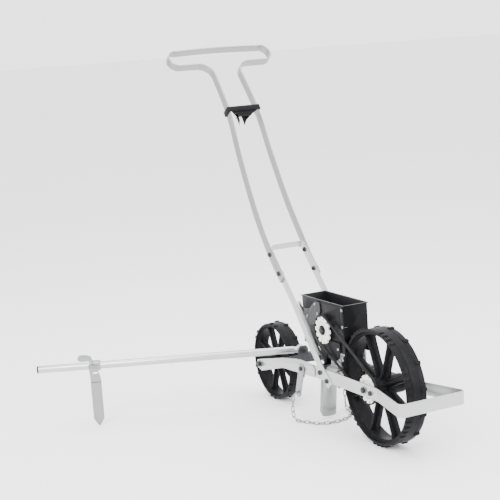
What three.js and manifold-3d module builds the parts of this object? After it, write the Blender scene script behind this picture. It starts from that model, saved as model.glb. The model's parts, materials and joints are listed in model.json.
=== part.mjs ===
// Push seeder: two plastic wheels in line under a bent-strip frame, a seed hopper driven by a
// belt from the front wheel, an opener, a drag chain, a swinging row marker and a long handle.
// Millimetres. +X is the way it travels, +Y its left-hand side, +Z up, ground at z = 0.
import * as THREE from 'three';
import { mergeVertices } from 'three/addons/utils/BufferGeometryUtils.js';
import Module from 'manifold-3d';

const wasm = await Module();
wasm.setup();

// ---------------------------------------------------------------- driving dimensions
const GAP = 0.3; // between pieces that touch
const WHEELBASE = 561; // front axle to rear axle
const LUG_HEIGHT = 3.5; // tread lugs stand this far off the rim

const FRONT = {
  rim: 150, width: 58, band: 7, lipWidth: 36, lipDepth: 8, hub: 24, spokes: 8, phase: 22.5,
  groups: 8, perGroup: 4, lugPitch: 6.5, lug: 8,
};
const REAR = {
  rim: 110.7, width: 46, band: 6, lipWidth: 28, lipDepth: 6, hub: 18, spokes: 8, phase: 22.5,
  groups: 6, perGroup: 2, lugPitch: 12, lug: 9,
};
const AXLE = { radius: 6, head: 11, headHeight: 6 };

// Heights in the next group are above or below the middle of the rails, which is the front axle's height.
const RAIL = { half: 60, strip: 3, height: 33.5, flareStart: 63, front: 219, cornerHalf: 97.5, rear: -330 };
const FRONT_AXLE_Z = FRONT.rim + LUG_HEIGHT;
const REAR_AXLE_Z = REAR.rim + LUG_HEIGHT;
const RAIL_Z = FRONT_AXLE_Z;
const RAIL_TOP = RAIL_Z + RAIL.height / 2;
const RAIL_BOTTOM = RAIL_Z - RAIL.height / 2;

function onRails([x, rise]) {
  return { x, z: RAIL_Z + rise };
}

const FORK = { strip: 3, hold: onRails([-309, -4]), nose: 14, front: -242, full: 145, step: 5 };
const HANGER = { strip: 2.5, width: 28, foot: { x: -334, z: 78 } };
const CHAIN_RADIUS = 3.5;

const LEG = { width: 25, strip: 3, topHalf: RAIL.half - 6, angleDepth: 11, angleStrip: 2 };
const LEG_BOLTS = [[-211, 4], [-177, -13]].map(onRails);
const JOINT_BOLTS = [[-413.5, 245.5], [-459, 294]].map(onRails);
const ANGLE_RIVETS = [[-323, 146.1], [-245, 61.1]].map(onRails);
const LEG_FOOT = onRails([-166, -25.1]);
const LEG_TOP = onRails([-474, 310.5]);

const GRIP = { strip: 4.5, topHalf: 42, halfWidth: 167, depth: 56, neckRadius: 40, bow: 4 };
// The side profile of the upper handle, from its lower end to the front strand of the grip.
const HANDLE_PROFILE = [
  [-398, 228.5], [-459, 294], [-546, 417], [-625, 560], [-688, 688], [-796.5, 822.5],
].map(onRails);

const CLIP = { at: 4, strip: 3, height: 16, reach: 33, notch: 7 };
const DRIVE_ROOM = { outside: 10, inside: 10 }; // from the rail to the sprockets, and from them to the hopper
const BELT = { thick: 3, width: 7, clear: 0.5 };
const SHAFT_RADIUS = 6;
const ROLLER = { radius: 42, half: 22, pockets: 12, pocket: 3.5 };
const SPROCKET = {
  ...onRails([-209.7, 117.5]), y: -(RAIL.half - RAIL.strip - DRIVE_ROOM.outside),
  teeth: 12, tip: 37, root: 29, thick: 5, bossOut: 1.5,
};
const HOPPER = {
  rear: -331, front: -118, half: -SPROCKET.y - DRIVE_ROOM.inside, top: RAIL_Z + 195, floor: RAIL_Z + 64.5,
  wall: 2.5, lip: 3, toe: -150, chest: RAIL_Z + 112.5,
};
// Where the underside of the belt crosses a height.
function beltUnderside(z) {
  const run = Math.hypot(SPROCKET.x, SPROCKET.z - FRONT_AXLE_Z);
  const offset = SPROCKET.tip + BELT.clear + BELT.thick;
  const fall = (SPROCKET.z - FRONT_AXLE_Z) / -SPROCKET.x;
  return -(z - FRONT_AXLE_Z + (offset * run) / -SPROCKET.x) / fall;
}
const BRACKET = { strip: 3, rear: -188, front: beltUnderside(RAIL_TOP + 12) - 5.9, bend: 9 };
const COVER = { thick: 2 };
const COVER_OUTLINE = [
  [-322, 159.5], [-291, 163.5], [-273, 177.5], [-256, 187.5], [-236, 187.5], [-233, 163.5],
  [-243, 146.5], [-262, 128.5], [-277, 118.5], [-292, 120.5], [-318, 146.5],
].map(onRails);
const COVER_SCREWS = [[-259, 179.5], [-302, 141.5], [-249, 154.5]].map(onRails);
const WALL_SCREWS = [[HOPPER.front - 7, 182.5], [HOPPER.front - 7, 137.5], [BRACKET.front - 8, 74.5]].map(onRails);

const OPENER = {
  front: -273, back: -298, half: 22, round: 13, wall: 2.5, foot: 11.5, top: RAIL_Z - 3.5, lean: 0.148, heel: 17,
};
// The chute stands inside the opener's round front, a little back from it.
const CHUTE_SET = 4;
function roundShare(back) {
  const depth = OPENER.round - OPENER.wall;
  return Math.sqrt(1 - ((depth - back) / depth) ** 2);
}
const CHUTE = {
  half: (OPENER.half - OPENER.wall) * roundShare(CHUTE_SET) - GAP, wall: 2, bottom: RAIL_Z - 12.5, knee: RAIL_Z + 22.5,
  topRear: -292, topFront: -238,
};
const BRIDGE = { x: -240, strip: 3, height: 26, rear: -286, fit: 0.4, collarStep: 8 };

const ARM = {
  x: -WHEELBASE + 137, z: RAIL_Z + 18, sweep: 24.5, radius: 10.5, wall: 1.5, start: 20, end: 740,
};
const KNUCKLE = { radius: 13, thick: 20, ahead: 2, pin: 4, pinHead: 9, nutRoom: 11, stub: 60 };
const MARKER = { at: 582, width: 30, strip: 2.5, sleeve: 2.2, tipLength: 20, fit: 0.35, clear: 0.5 };

const BOLT = { radius: 4, head: 7.5, headHeight: 5 };
const SCREW = { radius: 2.5, head: 4.5, headHeight: 2.4 };
const ADJUSTER = onRails([31, -2]);

const RAIL_IN = RAIL.half - RAIL.strip;
const FORK_IN = RAIL.half + GAP;
const FORK_OUT = FORK_IN + FORK.strip;
const HANGER_IN = FORK_OUT + GAP;
const HANGER_OUT = HANGER_IN + HANGER.strip;
const LEG_FOOT_HALF = FORK_IN + LEG.strip / 2;
const LEG_TOP_OUT = LEG.topHalf + LEG.strip / 2;
const GRIP_FOOT_HALF = LEG_TOP_OUT + GAP + GRIP.strip / 2;
const BEYOND = HANGER_OUT + 12; // hole cutters reach this far past the outermost strip

// ---------------------------------------------------------------- materials
function material(color, roughness, metalness) {
  return new THREE.MeshStandardMaterial({ color, roughness, metalness });
}
const aluminium = material(0xc9ccd0, 0.35, 0.9);
const blackPlastic = material(0x17181a, 0.55, 0.0);
const blackSteel = material(0x141416, 0.45, 0.5);
const coatedSheet = material(0x1b1c1e, 0.5, 0.2);
const darkBracket = material(0x4d4f52, 0.5, 0.6);
const whitePlastic = material(0xeceded, 0.5, 0.0);
const beltRubber = material(0x111112, 0.8, 0.0);
const zincSteel = material(0xb9bcc0, 0.4, 0.9);

// ---------------------------------------------------------------- solids
function bare(geometry) {
  const copy = geometry.clone();
  copy.deleteAttribute('normal');
  copy.deleteAttribute('uv');
  return mergeVertices(copy, 1e-4);
}

function signedVolume(positions, index) {
  const a = new THREE.Vector3();
  const b = new THREE.Vector3();
  const c = new THREE.Vector3();
  let sum = 0;
  for (let i = 0; i < index.length; i += 3) {
    a.fromArray(positions, index[i] * 3);
    b.fromArray(positions, index[i + 1] * 3);
    c.fromArray(positions, index[i + 2] * 3);
    sum += a.dot(b.cross(c));
  }
  return sum / 6;
}

// Turns a closed three.js geometry into a solid whose faces point out.
function solid(geometry) {
  const merged = bare(geometry);
  const vertProperties = Float32Array.from(merged.attributes.position.array);
  const triVerts = Uint32Array.from(merged.index.array);
  if (signedVolume(vertProperties, triVerts) < 0) triVerts.reverse();
  return new wasm.Manifold(new wasm.Mesh({ numProp: 3, vertProperties, triVerts }));
}

function geometryOf(body) {
  const mesh = body.getMesh();
  const geometry = new THREE.BufferGeometry();
  geometry.setAttribute('position', new THREE.BufferAttribute(Float32Array.from(mesh.vertProperties), 3));
  geometry.setIndex(new THREE.BufferAttribute(Uint32Array.from(mesh.triVerts), 1));
  return geometry;
}

function joined(bodies) {
  return bodies.reduce((whole, piece) => whole.add(piece));
}

function cutBy(body, tools) {
  return tools.reduce((whole, tool) => whole.subtract(tool), body);
}

// A box between two corners.
function block(x0, x1, y0, y1, z0, z1) {
  const geometry = new THREE.BoxGeometry(x1 - x0, y1 - y0, z1 - z0);
  geometry.translate((x0 + x1) / 2, (y0 + y1) / 2, (z0 + z1) / 2);
  return solid(geometry);
}

// A rod along Y between two places, at x, z.
function rod(radius, x, z, y0, y1, sides = 12) {
  const geometry = new THREE.CylinderGeometry(radius, radius, Math.abs(y1 - y0), sides);
  geometry.translate(x, (y0 + y1) / 2, z);
  return solid(geometry);
}

// A rod along X between two places, at y, z.
function rodX(radius, y, z, x0, x1, sides = 12) {
  const geometry = new THREE.CylinderGeometry(radius, radius, Math.abs(x1 - x0), sides);
  geometry.rotateZ(Math.PI / 2);
  geometry.translate((x0 + x1) / 2, y, z);
  return solid(geometry);
}

function shapeOf(points, holes = []) {
  const shape = new THREE.Shape(points.map(([a, b]) => new THREE.Vector2(a, b)));
  for (const hole of holes) {
    shape.holes.push(new THREE.Path(hole.map(([a, b]) => new THREE.Vector2(a, b))));
  }
  return shape;
}

// A plate whose outline lies in the XZ plane, between two places along Y.
function plateXZ(shape, y0, y1) {
  const low = Math.min(y0, y1);
  const high = Math.max(y0, y1);
  const geometry = new THREE.ExtrudeGeometry(shape, { depth: high - low, bevelEnabled: false });
  geometry.rotateX(Math.PI / 2);
  geometry.translate(0, high, 0);
  return solid(geometry);
}

// A plate whose outline lies in the YZ plane, between two places along X.
function plateYZ(shape, x0, x1) {
  const geometry = new THREE.ExtrudeGeometry(shape, { depth: x1 - x0, bevelEnabled: false });
  geometry.applyMatrix4(new THREE.Matrix4().makeBasis(
    new THREE.Vector3(0, 1, 0), new THREE.Vector3(0, 0, 1), new THREE.Vector3(1, 0, 0)));
  geometry.translate(x0, 0, 0);
  return solid(geometry);
}

// A plate whose outline lies in the XY plane, between two heights.
function plateXY(shape, z0, z1) {
  const geometry = new THREE.ExtrudeGeometry(shape, { depth: z1 - z0, bevelEnabled: false });
  geometry.translate(0, 0, z0);
  return solid(geometry);
}

// ---------------------------------------------------------------- outlines
// An open line through its corners with each inner corner rounded to its radius.
function filleted(corners, radii, steps = 5) {
  const line = [corners[0]];
  for (let i = 1; i < corners.length - 1; i += 1) {
    const before = new THREE.Vector2(...corners[i - 1]);
    const corner = new THREE.Vector2(...corners[i]);
    const after = new THREE.Vector2(...corners[i + 1]);
    const back = before.sub(corner).normalize();
    const on = after.sub(corner).normalize();
    const halfAngle = Math.acos(THREE.MathUtils.clamp(back.dot(on), -1, 1)) / 2;
    const reach = radii[i - 1] / Math.tan(halfAngle);
    const centre = corner.clone().add(
      back.clone().add(on).normalize().multiplyScalar(radii[i - 1] / Math.sin(halfAngle)));
    const start = corner.clone().add(back.clone().multiplyScalar(reach)).sub(centre);
    const end = corner.clone().add(on.clone().multiplyScalar(reach)).sub(centre);
    const turn = Math.atan2(start.cross(end), start.dot(end));
    for (let k = 0; k <= steps; k += 1) {
      const angle = (turn * k) / steps;
      const arm = start.clone().rotateAround(new THREE.Vector2(), angle);
      line.push([centre.x + arm.x, centre.y + arm.y]);
    }
  }
  line.push(corners[corners.length - 1]);
  return line;
}

// The outline of a strip of even thickness along an open line.
function ribbon(line, thickness) {
  const left = [];
  const right = [];
  for (let i = 0; i < line.length; i += 1) {
    const here = new THREE.Vector2(...line[i]);
    const into = new THREE.Vector2(...line[Math.max(i - 1, 0)]);
    const out = new THREE.Vector2(...line[Math.min(i + 1, line.length - 1)]);
    const first = i > 0 ? here.clone().sub(into).normalize() : out.clone().sub(here).normalize();
    const second = i < line.length - 1 ? out.clone().sub(here).normalize() : first;
    const along = first.clone().add(second).normalize();
    const side = new THREE.Vector2(-along.y, along.x).multiplyScalar(thickness / 2 / along.dot(first));
    left.push([here.x + side.x, here.y + side.y]);
    right.push([here.x - side.x, here.y - side.y]);
  }
  return [...left, ...right.reverse()];
}

// Two round ends joined by straight sides, around the points a and b.
function roundedLink(a, b, radiusA, radiusB, sides = 8) {
  const heading = Math.atan2(b.z - a.z, b.x - a.x);
  const tilt = Math.acos((radiusA - radiusB) / Math.hypot(b.x - a.x, b.z - a.z));
  const points = [];
  for (let k = 0; k <= sides; k += 1) {
    const angle = heading + tilt + ((2 * Math.PI - 2 * tilt) * k) / sides;
    points.push([a.x + radiusA * Math.cos(angle), a.z + radiusA * Math.sin(angle)]);
  }
  for (let k = 0; k <= sides; k += 1) {
    const angle = heading - tilt + (2 * tilt * k) / sides;
    points.push([b.x + radiusB * Math.cos(angle), b.z + radiusB * Math.sin(angle)]);
  }
  return points;
}

// ---------------------------------------------------------------- bent bars
// A flat bar along a list of frames, each a point and the direction that the bar's width takes.
function bentBar(frames, width, thickness) {
  const count = frames.length - 1;
  const geometry = new THREE.BoxGeometry(1, 1, 1, count, 1, 1);
  const position = geometry.attributes.position;
  for (let i = 0; i < position.count; i += 1) {
    const step = Math.round((position.getX(i) + 0.5) * count);
    const { point, across } = frames[step];
    const before = frames[Math.max(step - 1, 0)].point;
    const after = frames[Math.min(step + 1, count)].point;
    const first = point.clone().sub(step > 0 ? before : point);
    const second = after.clone().sub(point);
    const along = first.normalize().add(second.normalize()).normalize();
    const face = along.clone().cross(across).normalize();
    const lead = step > 0 ? point.clone().sub(before).normalize() : along;
    const stretch = 1 / Math.max(along.dot(lead), 0.5);
    const spot = point.clone()
      .addScaledVector(across, position.getY(i) * width)
      .addScaledVector(face, position.getZ(i) * thickness * stretch);
    position.setXYZ(i, spot.x, spot.y, spot.z);
  }
  return solid(geometry);
}

// ---------------------------------------------------------------- fasteners
// A bolt along Y: hexagon head at the outer end, nut at the inner end.
function boltY(place, outer, inner, size = BOLT) {
  const away = Math.sign(outer - inner);
  return joined([
    rod(size.radius, place.x, place.z, outer, inner),
    rod(size.head, place.x, place.z, outer, outer + away * size.headHeight, 6),
    rod(size.head, place.x, place.z, inner, inner - away * size.headHeight, 6),
  ]);
}

// A round-headed screw along Y whose shank reaches through a wall.
function screwY(place, outer, depth) {
  const away = Math.sign(outer);
  return joined([
    rod(SCREW.radius, place.x, place.z, outer, outer - away * depth, 10),
    rod(SCREW.head, place.x, place.z, outer, outer + away * SCREW.headHeight, 10),
  ]);
}

function holeY(place, radius, y0, y1, sides = 12) {
  return rod(radius + GAP, place.x, place.z, y0, y1, sides);
}

// ---------------------------------------------------------------- the assembly
const seeder = new THREE.Group();

function add(name, body, finish) {
  const mesh = new THREE.Mesh(geometryOf(body), finish);
  mesh.name = name;
  seeder.add(mesh);
}

const SIDES = [{ name: 'right', sign: -1 }, { name: 'left', sign: 1 }];

// ---------------------------------------------------------------- wheels
function lugs(wheel) {
  const bodies = [];
  const band = wheel.width / 2;
  for (let group = 0; group < wheel.groups; group += 1) {
    for (let k = 0; k < wheel.perGroup; k += 1) {
      const angle = -90 + (360 / wheel.groups) * group + wheel.lugPitch * (k - Math.floor(wheel.perGroup / 2));
      for (const sign of [-1, 1]) {
        const geometry = new THREE.BoxGeometry(LUG_HEIGHT + 2, band * 0.55, wheel.lug);
        geometry.translate(wheel.rim + LUG_HEIGHT / 2 - 1, sign * band * 0.725, 0);
        geometry.rotateY(-THREE.MathUtils.degToRad(angle));
        bodies.push(solid(geometry));
      }
    }
  }
  return bodies;
}

function spokes(wheel) {
  const bodies = [];
  const inner = wheel.hub - 3;
  const outer = wheel.rim - wheel.band - wheel.lipDepth + 2;
  const flat = wheel.hub * 0.42;
  const rib = wheel.lipWidth / 2 - 4;
  const section = shapeOf([
    [-flat, -2.5], [-3, -2.5], [-3, -rib], [3, -rib], [3, -2.5], [flat, -2.5],
    [flat, 2.5], [3, 2.5], [3, rib], [-3, rib], [-3, 2.5], [-flat, 2.5],
  ]);
  for (let k = 0; k < wheel.spokes; k += 1) {
    const geometry = new THREE.ExtrudeGeometry(section, { depth: outer - inner, bevelEnabled: false });
    geometry.translate(0, 0, inner);
    geometry.rotateY(THREE.MathUtils.degToRad(90 - wheel.phase - (360 / wheel.spokes) * k));
    bodies.push(solid(geometry));
  }
  return bodies;
}

function rimBand(wheel, segments) {
  const half = wheel.width / 2;
  const lip = wheel.lipWidth / 2;
  const inside = wheel.rim - wheel.band;
  const profile = [
    [wheel.rim - 2, -half], [wheel.rim, -half + 2], [wheel.rim, half - 2], [wheel.rim - 2, half],
    [inside, half], [inside, lip], [inside - wheel.lipDepth, lip],
    [inside - wheel.lipDepth, -lip], [inside, -lip], [inside, -half], [wheel.rim - 2, -half],
  ];
  const geometry = new THREE.LatheGeometry(profile.map(([r, y]) => new THREE.Vector2(r, y)), segments);
  return solid(geometry);
}

function wheelBody(wheel, hubNear, hubFar, segments) {
  const whole = joined([
    rimBand(wheel, segments), ...lugs(wheel), ...spokes(wheel), rod(wheel.hub, 0, 0, hubNear, hubFar, 24),
  ]);
  return cutBy(whole, [rod(AXLE.radius + GAP, 0, 0, hubNear - 1, hubFar + 1)]);
}

const SPROCKET_NEAR = SPROCKET.y - SPROCKET.thick / 2;
const SPROCKET_FAR = SPROCKET.y + SPROCKET.thick / 2;
const FRONT_HUB_FAR = RAIL_IN - 2.5;

add('front_wheel',
  wheelBody(FRONT, SPROCKET_FAR + GAP, FRONT_HUB_FAR, 64).translate([0, 0, FRONT_AXLE_Z]), blackPlastic);

// The rear hub has a slim tube on each side that keeps the wheel in the middle of the forks.
const REAR_HUB_HALF = 34;
function rearWheel() {
  const side = FORK_IN - GAP;
  return wheelBody(REAR, -REAR_HUB_HALF, REAR_HUB_HALF, 48)
    .add(rod(AXLE.radius + 3, 0, 0, -side, side, 16))
    .subtract(rod(AXLE.radius + GAP, 0, 0, -side - 1, side + 1))
    .translate([-WHEELBASE, 0, REAR_AXLE_Z]);
}
add('rear_wheel', rearWheel(), blackPlastic);

function axle(x, z, outer) {
  return boltY({ x, z }, -outer, outer, AXLE);
}
add('front_axle', axle(0, FRONT_AXLE_Z, RAIL.half + GAP), blackSteel);
add('rear_axle', axle(-WHEELBASE, REAR_AXLE_Z, FORK_OUT + GAP), blackSteel);

// ---------------------------------------------------------------- sprockets and belt
function sprocketBody(boreRadius, bossOut) {
  const points = [];
  const step = (2 * Math.PI) / SPROCKET.teeth;
  for (let k = 0; k < SPROCKET.teeth; k += 1) {
    const middle = k * step;
    for (const [offset, radius] of [[-0.34, SPROCKET.root], [-0.2, SPROCKET.tip], [0.2, SPROCKET.tip], [0.34, SPROCKET.root]]) {
      points.push([radius * Math.cos(middle + offset * step), radius * Math.sin(middle + offset * step)]);
    }
  }
  const disc = plateXZ(shapeOf(points), SPROCKET_NEAR, SPROCKET_FAR);
  const boss = rod(boreRadius + 6, 0, 0, SPROCKET_NEAR - bossOut, SPROCKET_FAR, 20);
  const bore = rod(boreRadius + GAP, 0, 0, SPROCKET_NEAR - bossOut - 1, SPROCKET_FAR + 1);
  return disc.add(boss).subtract(bore);
}

add('front_sprocket', sprocketBody(AXLE.radius, 3.5).translate([0, 0, FRONT_AXLE_Z]), whitePlastic);
add('seed_sprocket', sprocketBody(SHAFT_RADIUS, SPROCKET.bossOut).translate([SPROCKET.x, 0, SPROCKET.z]), whitePlastic);

function beltBody() {
  const inner = SPROCKET.tip + BELT.clear;
  const outer = inner + BELT.thick;
  const a = { x: 0, z: FRONT_AXLE_Z };
  const b = { x: SPROCKET.x, z: SPROCKET.z };
  const shape = shapeOf(roundedLink(a, b, outer, outer, 16), [roundedLink(a, b, inner, inner, 16)]);
  return plateXZ(shape, SPROCKET.y - BELT.width / 2, SPROCKET.y + BELT.width / 2);
}
add('drive_belt', beltBody(), beltRubber);

// ---------------------------------------------------------------- front frame
function frontFrame() {
  const side = RAIL.half - RAIL.strip / 2;
  const front = RAIL.front - RAIL.strip / 2;
  const line = filleted([
    [RAIL.rear, -side], [RAIL.flareStart, -side], [front, -RAIL.cornerHalf],
    [front, RAIL.cornerHalf], [RAIL.flareStart, side], [RAIL.rear, side],
  ], [60, 12, 12, 60]);
  const bar = plateXY(shapeOf(ribbon(line, RAIL.strip)), RAIL_BOTTOM, RAIL_TOP);
  const holes = [
    holeY({ x: 0, z: FRONT_AXLE_Z }, AXLE.radius, -BEYOND, BEYOND),
    ...[...LEG_BOLTS, FORK.hold, ADJUSTER].map((place) => holeY(place, BOLT.radius, -BEYOND, BEYOND)),
  ];
  return cutBy(bar, holes);
}
add('front_frame', frontFrame(), aluminium);

for (const { name, sign } of SIDES) {
  add(`axle_adjuster_${name}`, boltY(ADJUSTER, sign * (RAIL.half + GAP), sign * (RAIL_IN - GAP)), blackSteel);
}

// ---------------------------------------------------------------- rear forks and chain hangers
function forkPlate(sign) {
  const nose = { x: -WHEELBASE, z: REAR_AXLE_Z };
  const corner = 8;
  const outline = [
    [nose.x - FORK.nose, nose.z - 12], [nose.x - FORK.nose, nose.z + 10], [nose.x + 2, nose.z + FORK.nose],
    [nose.x + FORK.full, RAIL_TOP - 11.05], [RAIL.rear - 10, RAIL_TOP], [FORK.front - corner, RAIL_TOP],
    [FORK.front, RAIL_TOP - corner], [FORK.front, RAIL_BOTTOM + corner], [FORK.front - corner, RAIL_BOTTOM],
    [RAIL.rear + 13, RAIL_BOTTOM - 3], [nose.x + FORK.full - 4, RAIL_BOTTOM - 7.55],
    [nose.x + 10, nose.z - FORK.nose - FORK.step],
  ];
  const plate = plateXZ(shapeOf(outline), sign * FORK_IN, sign * FORK_OUT);
  return cutBy(plate, [
    holeY(nose, AXLE.radius, sign * RAIL_IN, sign * BEYOND),
    holeY(FORK.hold, BOLT.radius, sign * RAIL_IN, sign * BEYOND),
  ]);
}

function hangerPlate(sign) {
  const outline = roundedLink(FORK.hold, HANGER.foot, HANGER.width / 2, HANGER.width / 2);
  const plate = plateXZ(shapeOf(outline), sign * HANGER_IN, sign * HANGER_OUT);
  return cutBy(plate, [
    holeY(FORK.hold, BOLT.radius, sign * RAIL_IN, sign * BEYOND),
    holeY(HANGER.foot, SCREW.radius, sign * RAIL_IN, sign * BEYOND, 10),
  ]);
}

for (const { name, sign } of SIDES) {
  add(`rear_fork_${name}`, forkPlate(sign), aluminium);
  add(`chain_hanger_${name}`, hangerPlate(sign), aluminium);
  add(`fork_bolt_${name}`, boltY(FORK.hold, sign * (HANGER_OUT + GAP), sign * (RAIL_IN - GAP)), blackSteel);
  add(`chain_pin_${name}`, joined([
    rod(SCREW.radius, HANGER.foot.x, HANGER.foot.z, sign * (HANGER_IN - 3), sign * (HANGER_OUT + 3), 10),
    rod(SCREW.head, HANGER.foot.x, HANGER.foot.z, sign * (HANGER_OUT + 3), sign * (HANGER_OUT + 5), 10),
    rod(SCREW.head, HANGER.foot.x, HANGER.foot.z, sign * (HANGER_IN - 3), sign * (HANGER_IN - GAP), 10),
  ]), zincSteel);
}

// The drag chain lies on the ground in a loop between the two hangers.
const CHAIN_Z = CHAIN_RADIUS + 0.6;
const CHAIN_START = HANGER_OUT + 5 + GAP;
const CHAIN_ROUTE = [
  [-334, -CHAIN_START, 78], [-334, -CHAIN_START - 2.5, 78], [-334.5, -80, 73], [-336, -83, 58], [-338, -84, 26], [-335.5, -84, 12],
  [-328, -83, CHAIN_Z + 0.4], [-307, -81, CHAIN_Z], [-281, -66, CHAIN_Z], [-254, -50, CHAIN_Z],
  [-241, -24, CHAIN_Z], [-240, 8, CHAIN_Z], [-252, 40, CHAIN_Z], [-276, 66, CHAIN_Z],
  [-310, 79, CHAIN_Z], [-328, 83, CHAIN_Z + 0.4], [-335.5, 84, 12], [-337, 84, 30], [-336, 83, 58], [-334.5, 80, 73], [-334, CHAIN_START + 2.5, 78], [-334, CHAIN_START, 78],
];

function chainTube() {
  const curve = new THREE.CatmullRomCurve3(CHAIN_ROUTE.map((p) => new THREE.Vector3(...p)), false, 'centripetal');
  const circle = [];
  for (let k = 0; k < 8; k += 1) {
    const angle = (k * Math.PI) / 4;
    circle.push([CHAIN_RADIUS * Math.cos(angle), CHAIN_RADIUS * Math.sin(angle)]);
  }
  return solid(new THREE.ExtrudeGeometry(shapeOf(circle), { steps: 60, extrudePath: curve, bevelEnabled: false }));
}
add('drag_chain', chainTube(), zincSteel);

// ---------------------------------------------------------------- lower handle
const legVector = new THREE.Vector2(LEG_TOP.x - LEG_FOOT.x, LEG_TOP.z - LEG_FOOT.z).normalize();
const legAcross = new THREE.Vector3(legVector.y, 0, -legVector.x);

// Half the distance between the legs: wide over the rails, narrower where the upper handle bolts on.
function legHalfAt(share) {
  const ease = THREE.MathUtils.smoothstep(share, 0.17, 0.66);
  return THREE.MathUtils.lerp(LEG_FOOT_HALF, LEG.topHalf, ease);
}

function legPoint(share, sign) {
  const x = THREE.MathUtils.lerp(LEG_FOOT.x, LEG_TOP.x, share);
  const z = THREE.MathUtils.lerp(LEG_FOOT.z, LEG_TOP.z, share);
  return new THREE.Vector3(x, sign * legHalfAt(share), z);
}

function lowerHandle() {
  const bend = 12;
  const length = Math.hypot(LEG_TOP.x - LEG_FOOT.x, LEG_TOP.z - LEG_FOOT.z);
  const shares = [0, 0.12, 0.2, 0.3, 0.4, 0.5, 0.6, 0.66, 0.8, 1 - bend / length];
  const points = shares.map((share) => legPoint(share, -1));
  const top = legPoint(1, -1);
  const up = new THREE.Vector3(legVector.x, 0, legVector.y);
  const corner = [15, 35, 55, 75].map((degrees) => THREE.MathUtils.degToRad(degrees));
  for (const angle of corner) {
    points.push(top.clone()
      .addScaledVector(up, -bend + bend * Math.sin(angle))
      .add(new THREE.Vector3(0, bend - bend * Math.cos(angle), 0)));
  }
  points.push(top.clone().add(new THREE.Vector3(0, bend, 0)));
  const mirrored = points.map((p) => new THREE.Vector3(p.x, -p.y, p.z)).reverse();
  const frames = [...points, ...mirrored].map((point) => ({ point, across: legAcross }));
  const bar = bentBar(frames, LEG.width, LEG.strip);
  const holes = [...LEG_BOLTS, ...JOINT_BOLTS].map((place) => holeY(place, BOLT.radius, -BEYOND, BEYOND));
  return cutBy(bar, holes);
}
add('lower_handle', lowerHandle(), aluminium);

// A stiffening angle along the front edge of each leg, between the rail and half way up.
function legAngle(sign) {
  const shares = [0.2, 0.3, 0.4, 0.5, 0.58];
  const inset = LEG.strip / 2 + GAP + LEG.angleStrip / 2;
  const frames = shares.map((share) => {
    const point = legPoint(share, sign);
    return { point: point.clone().add(new THREE.Vector3(0, -sign * inset, 0)), across: legAcross };
  });
  const onLeg = bentBar(frames, LEG.width - 2, LEG.angleStrip);
  // The flange starts inside the strip and stands just proud of its edge.
  const edge = frames.map(({ point }) => ({
    point: point.clone()
      .addScaledVector(legAcross, LEG.width / 2 - 0.8 - LEG.angleStrip / 2)
      .add(new THREE.Vector3(0, -sign * (LEG.angleDepth / 2 - 0.5), 0)),
    across: new THREE.Vector3(0, 1, 0),
  }));
  return cutBy(onLeg.add(bentBar(edge, LEG.angleDepth, LEG.angleStrip)),
    ANGLE_RIVETS.map((place) => holeY(place, SCREW.radius, sign * LEG.topHalf / 2, sign * BEYOND, 10)));
}
for (const { name, sign } of SIDES) {
  add(`leg_angle_${name}`, legAngle(sign), aluminium);
}

for (const { name, sign } of SIDES) {
  LEG_BOLTS.forEach((place, k) => {
    add(`leg_bolt_${name}_${k + 1}`,
      boltY(place, sign * (FORK_OUT + GAP), sign * (RAIL_IN - 2 * GAP - BRIDGE.strip)), blackSteel);
  });
  JOINT_BOLTS.forEach((place, k) => {
    add(`handle_bolt_${name}_${k + 1}`,
      boltY(place, sign * (GRIP_FOOT_HALF + GRIP.strip / 2 + GAP),
        sign * (LEG.topHalf - LEG.strip / 2 - GAP)), blackSteel);
  });
}

// ---------------------------------------------------------------- upper handle
const profile = new THREE.SplineCurve(HANDLE_PROFILE.map(({ x, z }) => new THREE.Vector2(x, z)));
const NECK = 0.93; // the legs leave their line here and bend into the grip

function profileFrame(share) {
  const point = profile.getPoint(share);
  const tangent = profile.getTangent(share);
  return { point, tangent, across: new THREE.Vector3(tangent.y, 0, -tangent.x) };
}

function handleHalfAt(share) {
  const start = 1.45 / (HANDLE_PROFILE.length - 1);
  const ease = THREE.MathUtils.clamp((share - start) / (1 - start), 0, 1);
  return THREE.MathUtils.lerp(GRIP_FOOT_HALF, GRIP.topHalf, ease);
}

function upperHandle() {
  const frames = [];
  const steps = 22;
  for (let k = 0; k <= steps; k += 1) {
    const share = (NECK * k) / steps;
    const { point, across } = profileFrame(share);
    frames.push({ point: new THREE.Vector3(point.x, -handleHalfAt(share), point.y), across });
  }
  const neck = profileFrame(NECK);
  const up = new THREE.Vector3(neck.tangent.x, 0, neck.tangent.y);
  const base = frames[frames.length - 1].point;
  const reach = profile.getPoint(1).sub(neck.point).length();
  const radius = GRIP.neckRadius;
  const end = GRIP.depth / 2;
  const start = -base.y;
  const corners = [[start, 0], [start, reach], [GRIP.halfWidth - end, reach]];
  const outer = filleted(corners, [radius], 6).slice(1);
  for (let k = 1; k <= 9; k += 1) {
    const angle = -Math.PI / 2 + (Math.PI * k) / 10;
    outer.push([GRIP.halfWidth - end + end * Math.cos(angle), reach + end + end * Math.sin(angle)]);
  }
  for (const share of [1, 0.66, 0.33, 0]) {
    const half = (GRIP.halfWidth - end) * share;
    outer.push([half, reach + GRIP.depth + GRIP.bow * (1 - share * share) - GRIP.bow * 0.5]);
  }
  for (const [half, rise] of outer) {
    frames.push({ point: base.clone().setY(-half).addScaledVector(up, rise), across: neck.across });
  }
  const mirrored = frames.slice(0, -1).reverse()
    .map(({ point, across }) => ({ point: new THREE.Vector3(point.x, -point.y, point.z), across }));
  const bar = bentBar([...frames, ...mirrored], LEG.width, GRIP.strip);
  return cutBy(bar, JOINT_BOLTS.map((place) => holeY(place, BOLT.radius, -BEYOND, BEYOND)));
}
add('upper_handle', upperHandle(), aluminium);

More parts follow.
